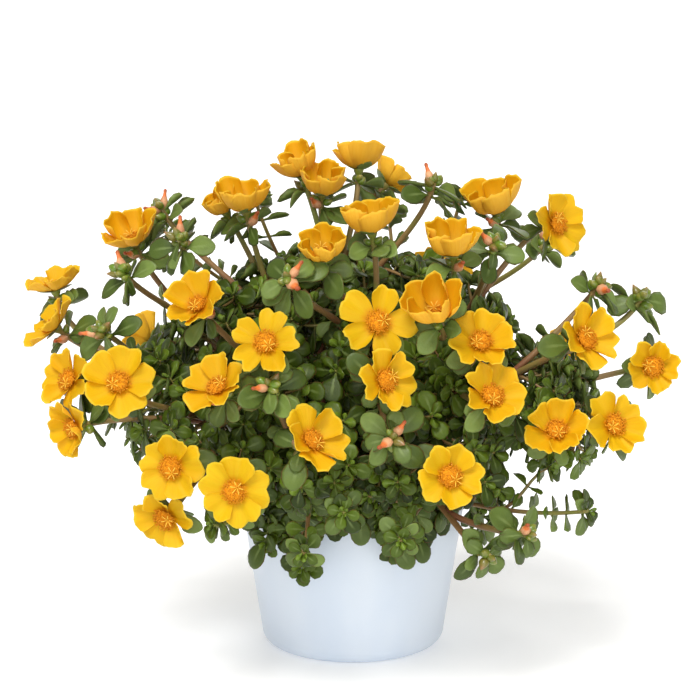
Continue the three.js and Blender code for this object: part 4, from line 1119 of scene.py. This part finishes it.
def bud_surface():
    """Glossy bud: round green ones with a yellowish tip, pointed ones olive to red-brown at the tip."""
    material, tree, surface = finish_material("bud_flesh", Roughness=0.3, Specular_IOR_Level=0.55)
    along, _, tint = growth_of(tree)
    blotch, grain = mottle(tree, 160.0, 1500.0)
    body = blend(tree, tint, tone(92, 122, 30), tone(112, 104, 42))
    tip = blend(tree, tint, tone(124, 134, 48), tone(150, 104, 70))
    colour = washed(tree, body, (along, 0.55, 1.0, 0, 1, tip), (blotch, 0.45, 0.7, 0, 0.4, tone(80, 94, 26)))
    cover(tree, surface, colour, grain, 0.2, 0.0003)
    return material


def capsule_surface():
    """Salmon seed capsule, ribbed and papery, with an orange-brown shrivelled flower at its tip."""
    material, tree, surface = finish_material("capsule_skin", Roughness=0.5, Specular_IOR_Level=0.4)
    along = growth_of(tree)[0]
    blotch, grain = mottle(tree, 200.0, 1500.0)
    dried = washed(tree, tone(212, 112, 52), (along, 0.72, 1.0, 0, 1, tone(150, 70, 34)))
    colour = washed(tree, tone(194, 134, 96), (blotch, 0.35, 0.65, 0, 1, tone(212, 160, 116)),
                    (along, 0.52, 0.64, 0, 1, dried), (along, 0.02, 0.14, 0.7, 0, tone(150, 148, 84)))
    cover(tree, surface, colour, grain, 0.5, 0.0005)
    return material


FOLIAGE = [stem_surface(), leaf_surface(), bud_surface(), capsule_surface()]
for name, branches in PLAN:
    shoots = shoots_of(branches)
    parts = [stem_skin(branch) for branch in branches]
    parts += [placed_leaves(LEAVES[name], large) for large in (True, False)
              if any((place["size"] is LARGE_LEAF) == large for place in LEAVES[name])]
    parts += placed_buds(BUDS[name]) + end_buds(branches) + whorl_extras(branches)
    leafy = [branch["knots"] for branch in branches if "leaves" in branch]
    parts += end_rosettes(np.array(leafy)) if leafy else []
    parts += [sepals(branch) for branch in branches if "bloom" in branch]
    parts += shoot_parts(shoots)
    growth = make_piece(f"{name}_growth", parts, FOLIAGE)
    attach(growth, "root")
    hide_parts(name)
sprigs = make_piece("hanging_sprigs", hanging_parts(hanging_shoots()), FOLIAGE)
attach(sprigs, "root")

# ---------- the blooms ----------
# Each bloom has five broad, notched golden petals, thin and softly ruffled, that overlap one on the next in a
# ring round a low orange disc, where a crowd of orange stamens stands round a pale star-shaped style.
NOTCH, NOTCH_WIDTH, CORNER, CUP_CORNER, ROUNDING = 0.13, 0.22, 0.26, 0.3, 0.97
BELLY, CLOSE_IN, CUP_NOTCH = 1.6, 0.5, 0.6
CUP, LAP, WAVE, FRILL = 1.6, 1.2, 1.7, 0.45
FLAT_FROM, CUP_UNDER = 60.0, 36.0
CREASES = ((0.0, 0.16, 1.5), (0.46, 0.12, 0.8), (-0.46, 0.12, 0.8))
PETAL_ROWS, PETAL_COLUMNS = 14, 17
PETAL_HALF, OVERLAP, CUP_OVERLAP, SPREAD = 36.0, 6.0, 10.0, 0.5
PETAL_THICK = 0.4
EDGE_TURN, THROAT = 81, 0.02
STAMENS, FILAMENT_RADIUS, ANTHER_LENGTH, ANTHER_RADIUS, CROWD_RADIUS = 130, 0.15, 1.4, 0.42, 6.9
GOLDEN_TURN, STAMEN_HEIGHT, STAMEN_FOOT, OUTER_SHARE = 137.508, 4.7, (1.9, 0.9), 0.74
STYLE_ARMS, STYLE_HEIGHT, STYLE_LEAN, STYLE_RADIUS, ARM_LENGTH, ARM_RADIUS = 6, 6.1, 3.4, 0.4, 3.9, 0.2
rng = np.random.default_rng(37)


def petals(branch):
    """The petals. A point at a share s of the length and w of the half-width lies at the angle 72 k + w h(s)
    round the bloom and s (1 - notch - corner (1 - sqrt(1 - 0.97 w^2)) + ragged s^4) along the middle line.
    The notch fades with exp(-(w / 0.22)^2), ragged is a sum of two sines of w, and each petal opens by a few
    degrees of its own. It stands inwards from that line by s w^2 times the cup, more where the petal lies
    over its neighbour and less where it lies under it, by s^2 times a wave and s^6 times a frill of w, less
    lengthwise creases, and its rim rolls out by s^7. The petals of a half-closed bloom, a cup, are broader,
    with rounder corners, a fainter notch and a straighter rim: they stand out by sin(pi s) times its belly
    and draw in towards the rim by s^4."""
    number, length, opening, corner = (*branch["bloom"], CORNER)[:4]
    lapped = corner == CORNER
    closed = np.cos(np.radians(opening))
    cupped = np.clip((FLAT_FROM - opening) / (FLAT_FROM - CUP_UNDER), 0, 1)
    corner += (CUP_CORNER - CORNER) * cupped
    k = np.arange(5)[:, None, None]
    s = np.linspace(THROAT, 1, PETAL_ROWS)[:, None]
    w = np.sin(np.radians(np.linspace(-EDGE_TURN, EDGE_TURN, PETAL_COLUMNS))) / np.sin(np.radians(EDGE_TURN))
    own = rng.uniform(-9, 9, (5, 1, 1)) * (1.1 - 0.2 * cupped)
    longer = 1 + rng.uniform(-0.1, 0.03, (5, 1, 1)) * (1 + cupped)
    phase = 2.4 * k + number
    deep = NOTCH * (1 - CUP_NOTCH * cupped) * rng.uniform(0.6, 1.4, (5, 1, 1))
    notch = deep * np.exp(-((w / NOTCH_WIDTH) ** 2))
    ragged = 0.016 * np.sin(8 * w + 3 * phase) + 0.008 * np.sin(15 * w + 5 * phase)
    rounded = corner * (1 - np.sqrt(1 - ROUNDING * w ** 2))
    reach = s * longer * (1 - notch - rounded + ragged * s ** 4)
    line = petal_line(length, opening + own * s, reach)
    wider = OVERLAP + CUP_OVERLAP * cupped if lapped else SPREAD
    half = PETAL_HALF + wider * np.clip((s - 0.1) / 0.3, 0, 1) - (2 if lapped else 7) * s ** 3
    angle = np.radians(72 * k + w * half + rng.uniform(-3, 3, (5, 1, 1)) * s)
    over_next = np.where(own < np.roll(own, -1, axis=0), 1.0, -1.0)
    side = np.where(w > 0, over_next, -np.roll(over_next, 1, axis=0))
    inward = s * w ** 2 * (CUP * (1 + closed) + (LAP + closed) * side)
    inward = inward + s ** 2 * WAVE * np.sin(1.6 * np.pi * w + phase) * (1 - 0.4 * w ** 2)
    inward = inward + s ** 6 * FRILL * (1 + 0.3 * cupped) * np.sin(6 * np.pi * w + 1.7 * phase)
    for middle, spread_of, depth in CREASES:
        inward = inward - depth * np.exp(-(((w - middle) / spread_of) ** 2)) * s * (1.25 - 0.85 * s)
    inward = inward - (0.5 + 2 * closed) * (1 - 0.7 * cupped) * rng.uniform(0.2, 1.4, (5, 1, 1)) * s ** 7
    inward = inward + cupped * (CLOSE_IN * s ** 4 - BELLY * np.sin(np.pi * s))
    upper, lower = (face_of(branch, line, angle, below - inward) for below in (0.0, PETAL_THICK))
    amber = np.clip((74 - opening) / 36, 0, 1)
    tint = 0.7 * amber + 0.15 * spread(number * 3) + rng.uniform(0, 0.15, (5, 1, 1))
    return sheet(upper, lower, marks(s, w, tint), marks(s, w, -1 - tint), 0)


def crowd_width(branch):
    """How wide the crowd of stamens spreads, as a share: less in a bloom that is half closed."""
    return np.clip((branch["bloom"][2] - 10) / 50, 0.5, 1.0)


def bloom_tubes(branch, middles, alongs, across, radii, columns, tips, growth, slot):
    """Tubes of a bloom that opens upwards, turned to its branch's way and moved to its seat."""
    middles, tips = turned_to(branch, middles), turned_to(branch, tips)
    alongs, across = (turned_to(branch, ways) - branch["seat"] for ways in (alongs, across))
    return tubes(middles, alongs, across, radii, columns, tips, growth, slot)


def stamens(branch):
    """The stamens: thin bent threads that rise from the disc and lean out, each with a plump anther. The i-th
    of n stands at 137.5 i degrees round the bloom and its tip at the root of i / n of the crowd's radius. The
    inner threads are hidden under the anthers and left out."""
    wide = crowd_width(branch)
    count = int(STAMENS * wide)
    i = np.arange(count)
    share = np.sqrt((i + 0.5) / count)
    out = polar(1.0, np.radians(GOLDEN_TURN * i) + rng.uniform(-0.2, 0.2, count), 0.0)
    top = out * (share * CROWD_RADIUS * wide * rng.uniform(0.9, 1.1, count))[:, None]
    top[:, 2] = STAMEN_HEIGHT - share ** 2 + rng.uniform(-0.5, 0.7, count)
    foot = out * (share * STAMEN_FOOT[0])[:, None] + UP * STAMEN_FOOT[1]
    knots = np.stack([foot, foot + UP * 2.0, top - UP * 2.4 - out * 0.3, top], axis=1)
    t = np.array([0, 0.55, 1.0])
    middles, alongs = route_at(knots, t), route_along(knots, t)
    across = np.cross(out, UP)
    outer = share > OUTER_SHARE
    ends = middles[:, -1] + alongs[:, -1] * 0.1
    growth = marks(t[:, None], 0, rng.random((outer.sum(), 1, 1)))
    threads = bloom_tubes(branch, middles[outer], alongs[outer], across[outer], FILAMENT_RADIUS, 3,
                          ends[outer], growth, 1)
    tilt = unit(alongs[:, -1] * 0.4 + out * 0.5 + across * rng.uniform(-0.8, 0.8, (count, 1)))
    s = np.array([0.25, 0.7])
    bodies = middles[:, -1:] + tilt[:, None] * ((s - 0.5) * ANTHER_LENGTH)[:, None]
    growth = marks(s[:, None], 1, rng.random((count, 1, 1)))
    anthers = bloom_tubes(branch, bodies, np.repeat(tilt[:, None], 2, axis=1), beside(tilt), ANTHER_RADIUS, 3,
                          middles[:, -1] + tilt * ANTHER_LENGTH / 2, growth, 2)
    return [threads, anthers]


def style(branch):
    """The style: a slim column that leans a little to one side, with six arms that curl out in a star."""
    out = polar(1.0, evenly_round(STYLE_ARMS) + branch["number"], 0.0)
    top = out[0] * STYLE_LEAN * crowd_width(branch) + UP * STYLE_HEIGHT
    knots = np.stack([top - UP * 3 + out * 0.05, top - UP * 0.8 + out * 0.2, top + out * 0.5 * ARM_LENGTH,
                      top + out * ARM_LENGTH + UP * 0.2], axis=1)
    t = np.array([0, 0.35, 0.6, 0.8, 0.95])
    arms = bloom_tubes(branch, route_at(knots, t), route_along(knots, t), np.cross(out, UP),
                       ARM_RADIUS * np.array([1, 1, 1.1, 1.2, 1]), 5, route_at(knots, [1.0])[:, 0],
                       marks(t[:, None], 2, 0.5), 3)
    t = np.linspace(0, 1, 3)[:, None]
    middles = (UP + (top - UP * 2.6 - UP) * t)[None]
    along = unit(top - UP * 3.6)
    column = bloom_tubes(branch, middles, np.repeat(along[None, None], 3, axis=1), beside(along)[None],
                         STYLE_RADIUS, 6, (top - UP * 2.4)[None], marks(t, 2, 0.5), 3)
    return [arms, column]


def disc(branch):
    """The disc that the petals stand on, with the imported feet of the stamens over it: a cushion that widens
    upwards and is domed on top."""
    wide = crowd_width(branch)
    profile = np.array([[2.0, -0.25], [2.7, 0.1], [2.8, 0.7], [2.9 * wide, 1.4], [5.2 * wide, 2.9],
                        [5.5 * wide, 3.4], [3.6 * wide, 4.2], [1.6 * wide, 4.5]])
    foot, top = (turned_to(branch, np.array([[0, 0, z]])) for z in (-0.3, 4.6))
    growth = marks(np.linspace(0, 1, len(profile))[:, None], 0, 0.5)
    return skin(turned_to(branch, revolved(profile, 12)), foot, top, growth, 1)


def petal_surface():
    """Thin, silky petal that lets light through: orange in the throat, golden to lemon yellow beyond, with
    fine lengthwise streaks, and apricot below, greenish at its foot. The tint is below 0 on the underside."""
    material, tree, surface = finish_material("petal_silk", Roughness=0.55, Specular_IOR_Level=0.3)
    along, across, tint = growth_of(tree)
    under = band(tree, tint, -0.55, -0.45, 1.0, 0.0)
    shade = sums(tree, "SUBTRACT", sums(tree, "ABSOLUTE", tint), under)
    fan = node(tree, "CombineXYZ", None, X=sums(tree, "MULTIPLY", across, 7.0), Y=along,
               Z=sums(tree, "MULTIPLY", tint, 20.0)).outputs[0]
    streak = node(tree, "TexNoise", None, Vector=fan, Scale=2.2, Detail=3.0, Roughness=0.6).outputs[0]
    face = washed(tree, blend(tree, shade, tone(234, 201, 14), tone(231, 180, 15)),
                  (streak, 0.45, 0.75, 0, 0.3, tone(232, 170, 6)),
                  (along, 0.22, 0.46, 0.7, 0, tone(236, 158, 4)),
                  (along, 0.02, 0.22, 0.8, 0, tone(208, 114, 4)),
                  (along, 0.92, 1.0, 0, 0.5, tone(248, 228, 70)))
    back = washed(tree, blend(tree, shade, tone(250, 214, 62), tone(250, 204, 64)),
                  (streak, 0.45, 0.7, 0, 0.45, tone(244, 188, 42)),
                  (along, 0.04, 0.3, 0.75, 0, tone(190, 160, 50)))
    colour = blend(tree, under, face, back)
    cover(tree, surface, colour, streak, 0.5, 0.0006)
    glow = node(tree, "BsdfTranslucent", None, Color=colour)
    mixed = node(tree, "MixShader", None, i0=0.42)
    tree.links.new(surface.outputs[0], mixed.inputs[1])
    tree.links.new(glow.outputs[0], mixed.inputs[2])
    tree.links.new(mixed.outputs[0], tree.nodes["Material Output"].inputs["Surface"])
    return material


def heart_surface(name, foot, tip, roughness):
    """A fleshy part of the bloom's heart that changes from one colour at its foot to another at its tip."""
    material, tree, surface = finish_material(name, Roughness=roughness, Specular_IOR_Level=0.15)
    along, _, chance = growth_of(tree)
    _, grain = mottle(tree, 300.0, 2500.0)
    colour = washed(tree, foot, (along, 0.0, 0.9, 0, 1, tip))
    colour = blend(tree, sums(tree, "MULTIPLY", chance, 0.35), colour, tone(228, 150, 8))
    cover(tree, surface, colour, grain, 0.4, 0.0003)
    return material


BLOOM_FINISH = [petal_surface(), heart_surface("filament", tone(198, 112, 12), tone(216, 140, 26), 0.9),
                heart_surface("anther", tone(204, 124, 16), tone(220, 150, 38), 0.9),
                heart_surface("style", tone(232, 186, 50), tone(242, 208, 84), 0.6)]
for branch in BLOOMS:
    number = branch["bloom"][0]
    bloom = make_piece(f"bloom_{number:02d}_flower",
                       [petals(branch), disc(branch), *stamens(branch), *style(branch)], BLOOM_FINISH)
    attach(bloom, "root")
    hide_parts(f"bloom_{number:02d}")

# ---------- the floor, the light and the camera ----------
# A wide pale floor under soft studio light: a broad key from the upper left, weaker fills from the front
# and from behind, and pale surroundings. The camera looks slightly down on the plant from the front.
FLOOR_HALF = 15.0
CAMERA_TARGET = np.array([-1.8, 0.0, 180.0])
CAMERA_AWAY, CAMERA_PITCH, CAMERA_LENS, SENSOR = 1500.0, 11.0, 128.57, 36.0


def floor_surface():
    """Matt white studio table, faintly lit from below, with a barely visible grain."""
    material, tree, surface = finish_material("studio_floor", Roughness=0.8, Specular_IOR_Level=0.2,
                                              Emission_Color=(1.0, 1.0, 1.0, 1.0), Emission_Strength=0.25)
    blotch, _ = mottle(tree, 2.0, 50.0)
    colour = blend(tree, blotch, tone(236, 237, 238), tone(240, 241, 242))
    tree.links.new(colour, surface.inputs["Base Color"])
    return material


def sun(name, bearing, lift, strength, spread_angle, colour):
    """A sun lamp that shines from a bearing and a lift."""
    lamp = bpy.data.lights.new(name, "SUN")
    lamp.energy, lamp.angle, lamp.color = strength, np.radians(spread_angle), colour
    shining = bpy.data.objects.new(name, lamp)
    shining.rotation_euler = Vector(towards(bearing, lift)).to_track_quat("Z", "Y").to_euler()
    bpy.context.scene.collection.objects.link(shining)


corners = np.array([[-1, -1, 0], [1, -1, 0], [1, 1, 0], [-1, 1, 0]]) * FLOOR_HALF
floor_mesh = bpy.data.meshes.new("studio_floor")
floor_mesh.from_pydata(corners.tolist(), [], [(0, 1, 2, 3)])
floor_mesh.materials.append(floor_surface())
floor = bpy.data.objects.new("studio_floor", floor_mesh)
bpy.context.scene.collection.objects.link(floor)

world = bpy.data.worlds.new("studio")
world.use_nodes = True
surroundings = world.node_tree.nodes["Background"]
surroundings.inputs["Color"].default_value = (1.0, 0.98, 0.94, 1.0)
seen = node(world.node_tree, "LightPath").outputs["Is Camera Ray"]
world.node_tree.links.new(band(world.node_tree, seen, 0, 1, 0.44, 0.95), surroundings.inputs["Strength"])
bpy.context.scene.world = world
sun("key_light", -20, 56, 2.9, 26, (1.0, 0.98, 0.95))
sun("fill_light", 8, 10, 1.35, 50, (0.97, 0.98, 1.0))
sun("back_light", 168, 34, 1.1, 50, (1.0, 0.99, 0.97))
bpy.context.scene.view_settings.view_transform = "Standard"

lens = bpy.data.cameras.new("camera")
lens.lens, lens.sensor_width, lens.sensor_height = CAMERA_LENS, SENSOR, SENSOR
camera = bpy.data.objects.new("camera", lens)
backwards = towards(0, CAMERA_PITCH)
camera.location = Vector((CAMERA_TARGET + backwards * CAMERA_AWAY) * MM)
camera.rotation_euler = Vector(backwards).to_track_quat("Z", "Y").to_euler()
bpy.context.scene.collection.objects.link(camera)
bpy.context.scene.camera = camera
